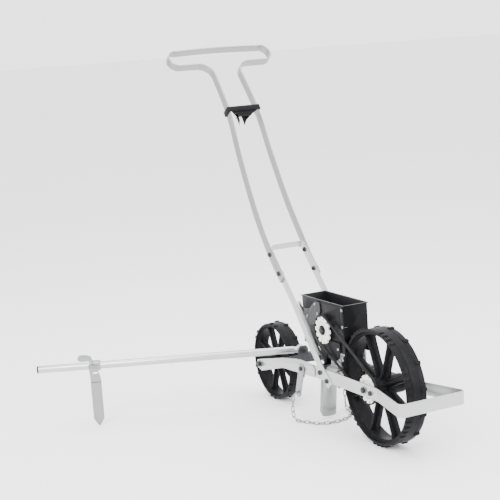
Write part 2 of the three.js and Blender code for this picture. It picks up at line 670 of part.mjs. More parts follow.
// ---------------------------------------------------------------- handle clip
// It hooks over both legs from the front; its tongue runs back between them to two prongs.
function handleClip() {
  const share = CLIP.at / (HANDLE_PROFILE.length - 1);
  const { point, tangent } = profileFrame(share);
  const half = handleHalfAt(share) + GRIP.strip / 2 + GAP + 0.6;
  const deep = LEG.width / 2 + GAP + 0.4;
  const outer = half + CLIP.strip;
  const hook = [
    [-deep - CLIP.strip, -outer], [deep + CLIP.strip, -outer], [deep + CLIP.strip, -outer + 7], [deep, -outer + 7],
    [deep, -half], [-deep, -half], [-deep, half], [deep, half],
    [deep, outer - 7], [deep + CLIP.strip, outer - 7], [deep + CLIP.strip, outer], [-deep - CLIP.strip, outer],
  ];
  const tongue = [
    [-deep - 1, -32], [14, -12], [CLIP.reach - 2.7, -11], [CLIP.reach - 2.7, -8], [CLIP.reach - 2.7 - CLIP.notch, -4],
    [CLIP.reach - 2.7 - CLIP.notch, 4], [CLIP.reach - 2.7, 8], [CLIP.reach - 2.7, 11], [14, 12], [-deep - 1, 32],
  ];
  const slot = [[-9, -7], [-4, -7], [-4, 7], [-9, 7]];
  const band = plateXY(shapeOf(hook), -CLIP.height / 2, CLIP.height / 2);
  const plate = plateXY(shapeOf(tongue, [slot]), -CLIP.height / 2, -CLIP.height / 2 + CLIP.strip);
  const rear = new THREE.Vector3(-tangent.y, 0, tangent.x);
  const up = new THREE.Vector3(tangent.x, 0, tangent.y);
  const side = up.clone().cross(rear);
  const frame = new THREE.Matrix4().makeBasis(rear, side, up).setPosition(point.x, 0, point.y);
  return band.add(plate).transform(frame.elements);
}
add('handle_clip', handleClip(), blackPlastic);

// ---------------------------------------------------------------- hopper
const SHAFT = { x: SPROCKET.x, z: SPROCKET.z };
const COVER_OUT = HOPPER.half + GAP + COVER.thick;

// The tub's front wall slopes back under its chest to clear the front wheel. The cheeks beside it
// keep the full outline.
function hopperBody() {
  const { rear, front, half, top, floor, wall, lip, toe, chest } = HOPPER;
  const slope = new THREE.Vector2(front - toe, chest - floor).normalize();
  const insideToe = toe - wall * slope.y + ((wall - wall * slope.x) * slope.x) / slope.y;
  const insideChest = chest + wall * slope.x + ((wall * slope.y - wall) * slope.y) / slope.x;
  const tub = shapeOf([[rear, floor], [toe, floor], [front, chest], [front, top], [rear, top]]);
  const shell = joined([
    plateXZ(tub, -half, half),
    block(toe - 5, front, -half, -half + wall, floor, chest + 5),
    block(toe - 5, front, half - wall, half, floor, chest + 5),
    block(rear - lip, front + lip, -half - lip, half + lip, top - 2, top),
  ]);
  const inside = plateXZ(shapeOf([
    [rear + wall, floor + wall], [insideToe, floor + wall], [front - wall, insideChest],
    [front - wall, top + 5], [rear + wall, top + 5],
  ]), -half + wall, half - wall);
  const drop = block(CHUTE.topRear + CHUTE.wall, CHUTE.topFront - CHUTE.wall,
    -CHUTE.half + CHUTE.wall, CHUTE.half - CHUTE.wall, floor - 5, floor + 10);
  const screws = [...COVER_SCREWS, ...WALL_SCREWS].map((place) => holeY(place, SCREW.radius, -half - 2, -half + 10, 10));
  const far = holeY(WALL_SCREWS[2], SCREW.radius, half - 10, half + 2, 10);
  return cutBy(shell, [inside, drop, holeY(SHAFT, SHAFT_RADIUS + 4, -half - 5, half + 5, 16), far, ...screws]);
}
add('hopper_body', hopperBody(), coatedSheet);

function hopperCover() {
  const plate = plateXZ(shapeOf(COVER_OUTLINE.map(({ x, z }) => [x, z])), -HOPPER.half - GAP, -COVER_OUT);
  return cutBy(plate, COVER_SCREWS.map((place) => holeY(place, SCREW.radius, -COVER_OUT - 5, -HOPPER.half + 5, 10)));
}
add('hopper_cover', hopperCover(), darkBracket);

COVER_SCREWS.forEach((place, k) => add(`cover_screw_${k + 1}`, screwY(place, -COVER_OUT - GAP, 6), zincSteel));
WALL_SCREWS.slice(0, 2).forEach((place, k) => {
  add(`wall_screw_${k + 1}`, screwY(place, -HOPPER.half - GAP, 5), zincSteel);
});

// Flanged bushes carry the seed shaft in both walls of the hopper.
for (const { name, sign } of SIDES) {
  const outer = sign * (HOPPER.half + 1.5);
  const inner = sign * (HOPPER.half - HOPPER.wall - 1.5);
  const bush = joined([
    rod(SHAFT_RADIUS + 4, SHAFT.x, SHAFT.z, outer, inner, 16),
    rod(SHAFT_RADIUS + 7, SHAFT.x, SHAFT.z, inner, inner + sign * (1.5 - GAP), 16),
  ]);
  add(`seed_bush_${name}`, cutBy(bush, [rod(SHAFT_RADIUS + GAP, SHAFT.x, SHAFT.z, outer + sign, inner - sign)]),
    blackPlastic);
}

// The shaft runs from outside the sprocket to beyond the far wall, with the roller on it inside.
const SHAFT_NEAR = SPROCKET_NEAR - 5;
add('seed_shaft', joined([
  rod(SHAFT_RADIUS, SHAFT.x, SHAFT.z, SHAFT_NEAR, HOPPER.half + 3),
  rod(SHAFT_RADIUS + 3, SHAFT.x, SHAFT.z, HOPPER.half + 1.5 + GAP, HOPPER.half + 4.5, 16),
]), blackSteel);
add('seed_sprocket_nut', cutBy(
  rod(10, SHAFT.x, SHAFT.z, SHAFT_NEAR - 1, SPROCKET_NEAR - SPROCKET.bossOut - GAP, 6),
  [rod(SHAFT_RADIUS + GAP, SHAFT.x, SHAFT.z, SHAFT_NEAR - GAP, SPROCKET_NEAR)]), blackSteel);

function seedRoller() {
  const drum = rod(ROLLER.radius, 0, 0, -ROLLER.half, ROLLER.half, 36);
  const pockets = [];
  for (let k = 0; k < ROLLER.pockets; k += 1) {
    const angle = (2 * Math.PI * k) / ROLLER.pockets;
    pockets.push(rod(ROLLER.pocket, ROLLER.radius * Math.cos(angle), ROLLER.radius * Math.sin(angle), -8, 8, 8));
  }
  return cutBy(drum, [...pockets, rod(SHAFT_RADIUS + GAP, 0, 0, -ROLLER.half - 5, ROLLER.half + 5)]).translate([SHAFT.x, 0, SHAFT.z]);
}
add('seed_roller', seedRoller(), whitePlastic);

// ---------------------------------------------------------------- seed chute and opener
// How far the opener has leaned forward at a height above its foot.
function leanAt(z) {
  return (z - OPENER.foot) * OPENER.lean;
}

function seedChute() {
  const low = { rear: OPENER.back + 3, front: OPENER.front - OPENER.wall - CHUTE_SET };
  const top = HOPPER.floor - GAP;
  const outline = (inset, extra) => shapeOf([
    [low.rear + leanAt(CHUTE.bottom - extra) + inset, CHUTE.bottom - extra],
    [low.front + leanAt(CHUTE.bottom - extra) - inset, CHUTE.bottom - extra],
    [low.front + leanAt(CHUTE.knee) - inset, CHUTE.knee], [CHUTE.topFront - inset, top - 12],
    [CHUTE.topFront - inset, top + extra], [CHUTE.topRear + inset, top + extra],
    [CHUTE.topRear + inset, top - 12], [low.rear + leanAt(CHUTE.knee) + inset, CHUTE.knee],
  ]);
  const outside = plateXZ(outline(0, 0), -CHUTE.half, CHUTE.half);
  const inside = plateXZ(outline(CHUTE.wall, 5), -CHUTE.half + CHUTE.wall, CHUTE.half - CHUTE.wall);
  return outside.subtract(inside);
}
add('seed_chute', seedChute(), coatedSheet);

// The opener is a channel with a round front. It leans, so a stretch of it is a sheared prism.
function openerPrism(grow, z0, z1, filled) {
  const front = OPENER.front + grow;
  const back = OPENER.back - (filled ? grow : 0);
  const half = OPENER.half + grow;
  const outline = (inset) => {
    const points = [];
    const radius = half - inset;
    const depth = OPENER.round - inset + grow;
    for (let k = 0; k <= 12; k += 1) {
      const angle = -Math.PI / 2 + (Math.PI * k) / 12;
      points.push([front - OPENER.round - grow + depth * Math.cos(angle), radius * Math.sin(angle)]);
    }
    return points;
  };
  const outer = outline(0);
  const points = filled
    ? [...outer, [back, half], [back, -half]]
    : [...outer, [back, half], [back, half - OPENER.wall], ...outline(OPENER.wall).reverse(),
      [back, -half + OPENER.wall], [back, -half]];
  const geometry = new THREE.ExtrudeGeometry(shapeOf(points), { depth: z1 - z0, bevelEnabled: false });
  geometry.translate(0, 0, z0 - OPENER.foot);
  geometry.applyMatrix4(new THREE.Matrix4().makeShear(0, 0, 0, 0, OPENER.lean, 0));
  geometry.translate(0, 0, OPENER.foot);
  return solid(geometry);
}

function openerBody() {
  const channel = openerPrism(0, OPENER.foot, OPENER.top, false);
  const heel = shapeOf([
    [OPENER.front - 6, OPENER.foot - 5], [OPENER.back - 5, OPENER.foot - 5], [OPENER.back - 5, OPENER.foot + OPENER.heel],
  ]);
  return channel.subtract(plateXZ(heel, -OPENER.half - 5, OPENER.half + 5));
}
add('opener', openerBody(), aluminium);

// A bridge between the rails with a collar that the opener slides in, and the screw that holds it.
const BRIDGE_Z = { low: RAIL_Z - BRIDGE.height / 2, high: RAIL_Z + BRIDGE.height / 2 };
const OPENER_SCREW = { y: 0, z: RAIL_Z - 3 };

function openerBridge() {
  const side = RAIL_IN - GAP - BRIDGE.strip / 2;
  const foot = LEG_BOLTS[0].x + 12;
  const line = filleted([[foot, -side], [BRIDGE.x, -side], [BRIDGE.x, side], [foot, side]], [5, 5], 3);
  const strap = plateXY(shapeOf(ribbon(line, BRIDGE.strip)), BRIDGE_Z.low, BRIDGE_Z.high);
  const collarHigh = BRIDGE_Z.high - BRIDGE.collarStep;
  const collar = block(BRIDGE.rear, BRIDGE.x, -OPENER.half - 4, OPENER.half + 4, BRIDGE_Z.low, collarHigh)
    .subtract(openerPrism(BRIDGE.fit, BRIDGE_Z.low - 5, collarHigh + 5, true));
  return cutBy(strap.add(collar), [
    holeY(LEG_BOLTS[0], BOLT.radius, -BEYOND, BEYOND),
    rodX(BOLT.radius + GAP, OPENER_SCREW.y, OPENER_SCREW.z, BRIDGE.x - 20, BRIDGE.x + 10),
  ]);
}
add('opener_bridge', openerBridge(), darkBracket);

const OPENER_FACE = OPENER.front + leanAt(OPENER_SCREW.z);
add('opener_screw', joined([
  rodX(BOLT.radius, OPENER_SCREW.y, OPENER_SCREW.z, OPENER_FACE + 1.2, BRIDGE.x + BRIDGE.strip / 2 + GAP),
  rodX(BOLT.head, OPENER_SCREW.y, OPENER_SCREW.z,
    BRIDGE.x + BRIDGE.strip / 2 + GAP, BRIDGE.x + BRIDGE.strip / 2 + BOLT.headHeight, 6),
]), blackSteel);

// ---------------------------------------------------------------- hopper brackets
function hopperBracket(sign) {
  const railSide = RAIL_IN - GAP - BRACKET.strip / 2;
  const hopperSide = HOPPER.half + GAP + BRACKET.strip / 2;
  const line = filleted([
    [sign * railSide, RAIL_BOTTOM + 3], [sign * railSide, RAIL_TOP + 2],
    [sign * hopperSide, RAIL_TOP + BRACKET.bend], [sign * hopperSide, HOPPER.floor + 20],
  ], [6, 6], 3);
  const plate = plateYZ(shapeOf(ribbon(line, BRACKET.strip)), BRACKET.rear, BRACKET.front);
  return cutBy(plate, [
    holeY(LEG_BOLTS[1], BOLT.radius, sign * (railSide - 5), sign * BEYOND),
    holeY(WALL_SCREWS[2], SCREW.radius, sign * (HOPPER.half - 5), sign * (hopperSide + 5), 10),
  ]);
}
for (const { name, sign } of SIDES) {
  add(`hopper_bracket_${name}`, hopperBracket(sign), aluminium);
  add(`bracket_screw_${name}`, screwY(WALL_SCREWS[2], sign * (HOPPER.half + 2 * GAP + BRACKET.strip), 8), zincSteel);
}

// ---------------------------------------------------------------- row marker
function markerFrame() {
  const turn = THREE.MathUtils.degToRad(270 - ARM.sweep);
  return new THREE.Matrix4().makeRotationZ(turn).setPosition(ARM.x, 0, ARM.z).elements;
}

const PIN = { y: 0, z: ARM.z };
const KNUCKLE_FRONT = ARM.x + KNUCKLE.thick / 2 + KNUCKLE.ahead;
const KNUCKLE_REAR = ARM.x - KNUCKLE.thick / 2 + KNUCKLE.ahead;

function knuckleBody() {
  const stub = rodX(ARM.radius - ARM.wall - GAP, 0, 0, 0, KNUCKLE.stub, 16).transform(markerFrame());
  const boss = rodX(KNUCKLE.radius, PIN.y, PIN.z, KNUCKLE_REAR, KNUCKLE_FRONT, 20);
  return cutBy(boss.add(stub), [
    rodX(KNUCKLE.pin + GAP, PIN.y, PIN.z, KNUCKLE_REAR - 5, KNUCKLE_FRONT + 5),
    rodX(KNUCKLE.nutRoom, PIN.y, PIN.z, KNUCKLE_REAR - 30, KNUCKLE_REAR, 20),
    block(KNUCKLE_FRONT, KNUCKLE_FRONT + 40, -40, 40, ARM.z - 40, ARM.z + 40),
  ]);
}
add('marker_knuckle', knuckleBody(), aluminium);

function armTube() {
  const outer = rodX(ARM.radius, 0, 0, ARM.start, ARM.end, 20);
  const inner = rodX(ARM.radius - ARM.wall, 0, 0, ARM.start - 5, ARM.end + 5, 20);
  const nutRoom = rodX(KNUCKLE.nutRoom, PIN.y, PIN.z, KNUCKLE_REAR - 30, KNUCKLE_REAR, 20);
  const bossRoom = rodX(KNUCKLE.radius + GAP, PIN.y, PIN.z, KNUCKLE_REAR - 1, KNUCKLE_FRONT + 1, 20);
  return cutBy(outer.subtract(inner).transform(markerFrame()), [nutRoom, bossRoom]);
}
add('marker_arm', armTube(), aluminium);

add('marker_end_plug', joined([
  rodX(ARM.radius - ARM.wall - GAP, 0, 0, ARM.end - 12, ARM.end + GAP, 16),
  rodX(ARM.radius, 0, 0, ARM.end + GAP, ARM.end + 4, 16),
]).transform(markerFrame()), blackPlastic);

// A strap between the forks with an upright tab that carries the pivot pin of the arm.
function markerBracket() {
  const front = KNUCKLE_FRONT + GAP + 1.5;
  const side = FORK_IN - GAP - 1.5;
  const line = filleted([[front + 34, -side], [front, -side], [front, side], [front + 34, side]], [6, 6], 3);
  const strap = plateXY(shapeOf(ribbon(line, 3)), RAIL_Z - 17.5, RAIL_Z + 6.5);
  const tab = shapeOf([
    [-16, RAIL_Z - 3.5], [16, RAIL_Z - 3.5], [16, ARM.z + 4], [10, ARM.z + 13], [-10, ARM.z + 13], [-16, ARM.z + 4],
  ]);
  return cutBy(strap.add(plateYZ(tab, front - 1.5, front + 1.5)), [
    rodX(KNUCKLE.pin + GAP, PIN.y, PIN.z, front - 10, front + 10),
  ]);
}
add('marker_bracket', markerBracket(), darkBracket);

const BRACKET_FRONT = KNUCKLE_FRONT + GAP + 3;
add('marker_pivot_bolt', joined([
  rodX(KNUCKLE.pin, PIN.y, PIN.z, KNUCKLE_REAR - GAP, BRACKET_FRONT + GAP),
  rodX(KNUCKLE.pinHead, PIN.y, PIN.z, BRACKET_FRONT + GAP, BRACKET_FRONT + 5, 6),
  rodX(KNUCKLE.pinHead, PIN.y, PIN.z, KNUCKLE_REAR - 4.5, KNUCKLE_REAR - GAP, 6),
]), blackSteel);

function markerBlade() {
  const start = MARKER.at - MARKER.width / 2;
  const end = MARKER.at + MARKER.width / 2;
  const inner = ARM.radius + MARKER.fit;
  const sleeve = rodX(inner + MARKER.sleeve, 0, 0, start, end, 24);
  const low = -ARM.z + MARKER.clear;
  const half = MARKER.width / 2;
  const outline = [
    [MARKER.at - half, -2], [MARKER.at - half, low + MARKER.tipLength], [MARKER.at, low],
    [MARKER.at + half, low + MARKER.tipLength], [MARKER.at + half, -2],
  ];
  const strip = plateXZ(shapeOf(outline), inner, inner + MARKER.strip);
  const tab = plateXZ(shapeOf([
    [MARKER.at + 2, 2], [MARKER.at + 8, 2], [MARKER.at + 12, 18], [MARKER.at + 42, 16], [MARKER.at + 48, 24],
    [MARKER.at + 38, 36], [MARKER.at + 16, 33], [MARKER.at + 6, 24],
  ]), inner - 0.05, inner + MARKER.strip);
  const screw = rod(SCREW.radius + GAP, MARKER.at + 4, 0, inner - 3, inner + 8, 10);
  return cutBy(joined([sleeve, strip, tab]), [rodX(inner, 0, 0, start - 5, end + 60, 24), screw])
    .transform(markerFrame());
}
add('marker_blade', markerBlade(), aluminium);

// The clamp screw presses on the arm through the sleeve, with a winged head.
add('marker_clamp_screw', joined([
  rod(SCREW.radius, MARKER.at + 4, 0, ARM.radius + MARKER.fit, ARM.radius + MARKER.fit + 7, 10),
  rod(5, MARKER.at + 4, 0, ARM.radius + MARKER.fit + 3.2, ARM.radius + MARKER.fit + 9, 10),
  block(MARKER.at - 8, MARKER.at + 16, ARM.radius + MARKER.fit + 5, ARM.radius + MARKER.fit + 7.5, -4, 4),
]).transform(markerFrame()), zincSteel);

// ---------------------------------------------------------------- own frame
// The origin is on the ground under the middle of the whole object.
const box = new THREE.Box3().setFromObject(seeder);
seeder.position.set(-(box.min.x + box.max.x) / 2, -(box.min.y + box.max.y) / 2, 0);

export default seeder;
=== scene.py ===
import json
import math

import bmesh
import bpy
from bpy.props import FloatProperty, FloatVectorProperty, IntProperty, PointerProperty
from mathutils import Matrix, Quaternion, Vector


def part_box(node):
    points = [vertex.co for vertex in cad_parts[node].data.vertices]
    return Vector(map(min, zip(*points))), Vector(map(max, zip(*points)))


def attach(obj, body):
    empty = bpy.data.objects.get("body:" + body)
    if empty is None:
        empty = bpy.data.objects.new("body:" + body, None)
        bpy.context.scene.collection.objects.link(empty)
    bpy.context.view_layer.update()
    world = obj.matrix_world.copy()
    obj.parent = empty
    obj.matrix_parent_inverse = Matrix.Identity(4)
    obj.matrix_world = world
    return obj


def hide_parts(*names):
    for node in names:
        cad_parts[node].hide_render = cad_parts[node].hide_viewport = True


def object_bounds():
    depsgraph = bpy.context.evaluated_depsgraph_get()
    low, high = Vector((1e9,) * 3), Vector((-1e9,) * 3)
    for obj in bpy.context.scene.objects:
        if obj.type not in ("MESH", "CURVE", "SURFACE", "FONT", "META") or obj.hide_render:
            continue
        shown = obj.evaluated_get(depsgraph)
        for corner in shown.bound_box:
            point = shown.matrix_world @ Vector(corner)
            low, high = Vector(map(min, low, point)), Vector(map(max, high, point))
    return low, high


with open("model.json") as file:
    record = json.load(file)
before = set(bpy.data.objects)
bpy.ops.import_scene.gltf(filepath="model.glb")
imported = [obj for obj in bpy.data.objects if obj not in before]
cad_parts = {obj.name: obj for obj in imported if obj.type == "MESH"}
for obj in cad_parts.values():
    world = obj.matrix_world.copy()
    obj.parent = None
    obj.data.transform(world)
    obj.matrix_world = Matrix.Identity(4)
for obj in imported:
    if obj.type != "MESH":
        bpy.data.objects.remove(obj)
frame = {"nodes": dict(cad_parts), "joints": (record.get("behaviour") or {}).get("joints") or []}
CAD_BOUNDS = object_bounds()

bl_info = {
    "name": "Push seeder",
    "version": (1, 0, 0),
    "blender": (4, 5, 0),
    "location": "View3D > Sidebar > Seeder",
    "description": "Builds a walk-behind seeder around its packed frame",
    "category": "Add Mesh",
}

# ------------------------------------------------------------------ frame of reference
# Shapes are drawn in millimetres with the front axle over x = 0, the centre line at y = 0 and
# the ground at z = 0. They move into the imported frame, in metres, when a piece is finished.
MM = 0.001
JOINTS = {joint["name"]: joint for joint in frame["joints"]}
FRONT_AXLE = Vector(JOINTS["front_wheel_spin"]["pos_m"])
REAR_AXLE = Vector(JOINTS["rear_wheel_spin"]["pos_m"])
ORIGIN = Vector((FRONT_AXLE.x, FRONT_AXLE.y, 0))
TO_FRAME = Matrix.Translation(ORIGIN) @ Matrix.Diagonal((MM, MM, MM, 1))
FROM_FRAME = TO_FRAME.inverted()

GAP = 0.3
AXLE_Z = FRONT_AXLE.z / MM
WHEELBASE = (FRONT_AXLE.x - REAR_AXLE.x) / MM
REAR_Z = REAR_AXLE.z / MM
SIDES = (("right", -1), ("left", 1))
RAIL = {
    "half": 60, "strip": 3, "height": 33.5, "flare": 63, "front": 219, "corner": 97.5, "rear": -330}
LEG = {"width": 25, "strip": 3, "foot_half": 61.8, "top_half": 54}
LEG_FOOT, LEG_TOP = Vector((-166, 0, 128.4)), Vector((-474, 0, 464))
HANDLE_STRIP = 4.5
GRIP = {"foot_half": 58.05, "top_half": 42, "half_width": 167, "depth": 56, "neck": 40, "bow": 4}
HANDLE_PROFILE = [
    (-398, 382), (-459, 447.5), (-546, 570.5), (-625, 713.5), (-688, 841.5), (-796.5, 976)]
HANGER_TOP, HANGER_FOOT = (-309, 149.5), (-334, 78)
SPROCKET = {
    "x": -209.7, "z": 271, "y": -47, "teeth": 12, "tip": 37, "root": 30, "thick": 5, "bore": 6.3}
BELT = {"clear": 0.5, "thick": 3, "half": 3.5}
ARM = {"x": -424, "z": 171.5, "turn": 245.5, "radius": 10.5, "wall": 1.5, "start": 20, "end": 740}
MARKER = {"at": 582, "width": 30, "strip": 2.5, "inner": 10.85, "sleeve": 2.2}
CHAIN = [
    (-334, -71.4, 78), (-334, -73.9, 78), (-334.5, -80, 73), (-336, -83, 58), (-338, -84, 26),
    (-335.5, -84, 12), (-328, -83, 4.5), (-307, -81, 4.1), (-281, -66, 4.1), (-254, -50, 4.1),
    (-241, -24, 4.1), (-240, 8, 4.1), (-252, 40, 4.1), (-276, 66, 4.1), (-310, 79, 4.1),
    (-328, 83, 4.5), (-335.5, 84, 12), (-337, 84, 30), (-336, 83, 58), (-334.5, 80, 73),
    (-334, 73.9, 78), (-334, 71.4, 78),
]
CHAIN_DIAMETER = 9.4
SCREW = {"head": 4.5, "rise": 2.4, "shank": 2.5, "slot_half": 0.45, "slot_depth": 0.9}


# ------------------------------------------------------------------ what a user would change
class SeederSizes(bpy.types.PropertyGroup):
    """Sizes of the finer detail."""

    edge_round: FloatProperty(
        name="Edge round", description="Rounding along the edges of strips and plates",
        default=0.0006, min=0.0002, max=0.0015, unit="LENGTH")
    lug_height: FloatProperty(
        name="Lug height", description="How far the tread lugs stand off the rim",
        default=0.0035, min=0.001, max=0.006, unit="LENGTH")
    lug_length: FloatProperty(
        name="Lug length", description="Length of a tread lug around the rim",
        default=0.008, min=0.003, max=0.012, unit="LENGTH")
    link_pitch: FloatProperty(
        name="Link pitch", description="Distance from one chain link to the next",
        default=0.0148, min=0.010, max=0.020, unit="LENGTH")
    link_wire: FloatProperty(
        name="Link wire", description="Thickness of the wire that the chain links are bent from",
        default=0.0024, min=0.001, max=0.0028, unit="LENGTH")
    rim_steps: IntProperty(
        name="Rim steps", description="Facets around a wheel rim", default=128, min=48, max=256)


def colour(name, about, value):
    return FloatVectorProperty(
        name=name, description=about, default=value, size=4, min=0, max=1, subtype="COLOR")


class SeederFinishes(bpy.types.PropertyGroup):
    """Colours of the finishes."""

    aluminium: colour("Aluminium", "Bare strip of the frame and handles", (0.34, 0.344, 0.348, 1))
    plastic: colour("Black plastic", "Wheels, clip and bushes", (0.007, 0.007, 0.008, 1))
    steel: colour("Black steel", "Bolts, nuts and axles", (0.018, 0.018, 0.019, 1))
    sheet: colour("Coated sheet", "Hopper and chute", (0.006, 0.006, 0.007, 1))
    bracket: colour("Dark bracket", "Cover, bridge and marker bracket", (0.055, 0.056, 0.060, 1))
    white: colour("White plastic", "Sprockets and seed roller", (0.62, 0.62, 0.60, 1))
    rubber: colour("Belt rubber", "Drive belt", (0.010, 0.010, 0.010, 1))
    zinc: colour("Zinc plate", "Chain, screws and rivets", (0.22, 0.225, 0.235, 1))


def sizes():
    return bpy.context.scene.seeder_sizes


def edge_mm():
    return sizes().edge_round / MM


def finishes():
    return bpy.context.scene.seeder_finishes


# ------------------------------------------------------------------ materials
class Finish:
    """A node material with one principled shader, and short ways to add texture to it."""

    def __init__(self, name, metallic=0.0, roughness=0.5, gloss=0.5):
        self.material = bpy.data.materials.new(name)
        self.material.use_nodes = True
        tree = self.material.node_tree
        self.nodes, self.links = tree.nodes, tree.links
        self.shader = self.nodes["Principled BSDF"]
        self.shader.inputs["Metallic"].default_value = metallic
        self.shader.inputs["Roughness"].default_value = roughness
        self.shader.inputs["Specular IOR Level"].default_value = gloss
        self.where = self.nodes.new("ShaderNodeTexCoord").outputs["Object"]

    def mapped(self, scale=(1, 1, 1), turn=(0, 0, 0)):
        """Object coordinates, turned into the grain's own axes and then scaled."""
        mapping = self.nodes.new("ShaderNodeMapping")
        mapping.vector_type = "TEXTURE"
        mapping.inputs["Rotation"].default_value = turn
        self.links.new(self.where, mapping.inputs["Vector"])
        stretch = self.nodes.new("ShaderNodeMapping")
        stretch.vector_type = "POINT"
        stretch.inputs["Scale"].default_value = scale
        self.links.new(mapping.outputs["Vector"], stretch.inputs["Vector"])
        return stretch.outputs["Vector"]

    def noise(self, vector, scale, detail=4.0, rough=0.55):
        node = self.nodes.new("ShaderNodeTexNoise")
        node.inputs["Scale"].default_value = scale
        node.inputs["Detail"].default_value = detail
        node.inputs["Roughness"].default_value = rough
        self.links.new(vector, node.inputs["Vector"])
        return node.outputs["Fac"]

    def cells(self, vector, scale):
        node = self.nodes.new("ShaderNodeTexVoronoi")
        node.inputs["Scale"].default_value = scale
        self.links.new(vector, node.inputs["Vector"])
        return node.outputs["Distance"]

    def ranged(self, value, low, high, to_low, to_high):
        node = self.nodes.new("ShaderNodeMapRange")
        for name, number in (
                ("From Min", low), ("From Max", high), ("To Min", to_low), ("To Max", to_high)):
            node.inputs[name].default_value = number
        self.links.new(value, node.inputs["Value"])
        return node.outputs["Result"]

    def blended(self, factor, first, second):
        """Two colours, each a plain one or a socket, mixed by a factor."""
        node = self.nodes.new("ShaderNodeMix")
        node.data_type = "RGBA"
        self.links.new(factor, node.inputs["Factor"])
        for socket, value in ((node.inputs[6], first), (node.inputs[7], second)):
            if isinstance(value, bpy.types.NodeSocket):
                self.links.new(value, socket)
            else:
                socket.default_value = value
        return node.outputs[2]

    def colour(self, socket):
        self.links.new(socket, self.shader.inputs["Base Color"])

    def roughness(self, socket):
        self.links.new(socket, self.shader.inputs["Roughness"])

    def bump(self, height, depth, strength=1.0, under=None):
        """A bump of a depth in metres, laid over another one where given."""
        node = self.nodes.new("ShaderNodeBump")
        node.inputs["Strength"].default_value = strength
        node.inputs["Distance"].default_value = depth
        self.links.new(height, node.inputs["Height"])
        if under is not None:
            self.links.new(under, node.inputs["Normal"])
        self.links.new(node.outputs["Normal"], self.shader.inputs["Normal"])
        return node.outputs["Normal"]


def scaled(value, share):
    """A colour made lighter or darker."""
    return tuple(min(1.0, channel * share) for channel in value[:3]) + (1.0,)


def toward(value, other, share):
    """A colour part of the way to another."""
    return tuple(a + (b - a) * share for a, b in zip(value[:3], other)) + (1.0,)


def rolled_aluminium(name, turn, base):
    """Mill-finished strip: fine rolling lines along it, soft cloudy patches and a few scuffs."""
    finish = Finish(name, metallic=1.0)
    lines = finish.noise(finish.mapped((9, 620, 620), turn), 1.0, 3.0, 0.6)
    cloud = finish.noise(finish.mapped((1, 1, 1)), 22.0, 5.0, 0.6)
    askew = (turn[0], turn[1] + 0.35, turn[2])
    scuffs = finish.noise(finish.mapped((30, 900, 900), askew), 1.0, 2.0, 0.5)
    tone = finish.blended(
        finish.ranged(cloud, 0.3, 0.7, 0.0, 1.0), scaled(base, 0.93), scaled(base, 1.04))
    finish.colour(
        finish.blended(finish.ranged(lines, 0.35, 0.7, 0.0, 0.35), tone, scaled(base, 0.86)))
    finish.roughness(finish.ranged(cloud, 0.3, 0.7, 0.27, 0.40))
    first = finish.bump(lines, 0.00005, 0.5)
    finish.bump(finish.ranged(scuffs, 0.66, 0.74, 0.0, 1.0), 0.00002, 0.3, first)
    return finish.material


def moulded_plastic(name, base, light, grain=1500.0, rough=(0.36, 0.52), dust=0.25, gloss=0.05):
    """Moulded plastic: a fine grain, uneven gloss and a little pale dust in places."""
    finish = Finish(name, gloss=gloss)
    fine = finish.noise(finish.mapped(), grain, 2.0, 0.5)
    broad = finish.noise(finish.mapped(), 14.0, 5.0, 0.6)
    patchy = finish.noise(finish.mapped((1, 2.2, 1)), 46.0, 6.0, 0.65)
    tone = finish.blended(finish.ranged(broad, 0.3, 0.7, 0.0, 1.0), base, scaled(base, 1.35))
    finish.colour(finish.blended(finish.ranged(patchy, 0.52, 0.80, 0.0, dust), tone, light))
    finish.roughness(finish.ranged(patchy, 0.3, 0.75, rough[0], rough[1]))
    first = finish.bump(fine, 0.00008, 0.35)
    finish.bump(broad, 0.0004, 0.12, first)
    return finish.material


def black_oxide(name, base):
    """Oil-blacked steel: dark, faintly metallic, with browner and greyer spots."""
    finish = Finish(name, metallic=0.3, gloss=0.15)
    fine = finish.noise(finish.mapped(), 700.0, 4.0, 0.6)
    broad = finish.noise(finish.mapped(), 90.0, 4.0, 0.6)
    tone = finish.blended(finish.ranged(broad, 0.3, 0.7, 0.0, 1.0), base, scaled(base, 1.7))
    rusty = toward(base, (0.16, 0.15, 0.14), 0.6)
    finish.colour(finish.blended(finish.ranged(fine, 0.6, 0.8, 0.0, 0.4), tone, rusty))
    finish.roughness(finish.ranged(broad, 0.3, 0.7, 0.32, 0.5))
    finish.bump(fine, 0.00005, 0.4)
    return finish.material


def powder_coat(name, base, metallic, rough, glint_share):
    """Sprayed coat: a soft orange-peel surface with pinholes of gloss painted into its colour as
    tiny pale specks, a painted highlight.
    """
    finish = Finish(name, metallic=metallic, gloss=0.06)
    peel = finish.noise(finish.mapped(), 420.0, 3.0, 0.5)
    broad = finish.noise(finish.mapped(), 18.0, 4.0, 0.6)
    speck = finish.cells(finish.mapped(), 900.0)
    tone = finish.blended(
        finish.ranged(broad, 0.3, 0.7, 0.0, 1.0), scaled(base, 0.85), scaled(base, 1.25))
    # Painted highlight: pale specks mixed into the colour stand in for glints of gloss.
    pale = toward(base, (0.5, 0.5, 0.5), 0.5)
    finish.colour(finish.blended(finish.ranged(speck, 0.0, 0.25, glint_share, 0.0), tone, pale))
    finish.roughness(finish.ranged(broad, 0.3, 0.7, rough[0], rough[1]))
    finish.bump(peel, 0.00010, 0.35)
    return finish.material


def belt_rubber(name, base):
    """Rubber: matt, slightly chalky, with a woven back."""
    finish = Finish(name, gloss=0.1)
    fine = finish.noise(finish.mapped(), 1100.0, 3.0, 0.6)
    broad = finish.noise(finish.mapped(), 60.0, 4.0, 0.6)
    chalky = scaled(base, 2.4)
    finish.colour(finish.blended(finish.ranged(broad, 0.35, 0.75, 0.0, 1.0), base, chalky))
    finish.roughness(finish.ranged(fine, 0.3, 0.7, 0.55, 0.72))
    finish.bump(fine, 0.00010, 0.5)
    return finish.material


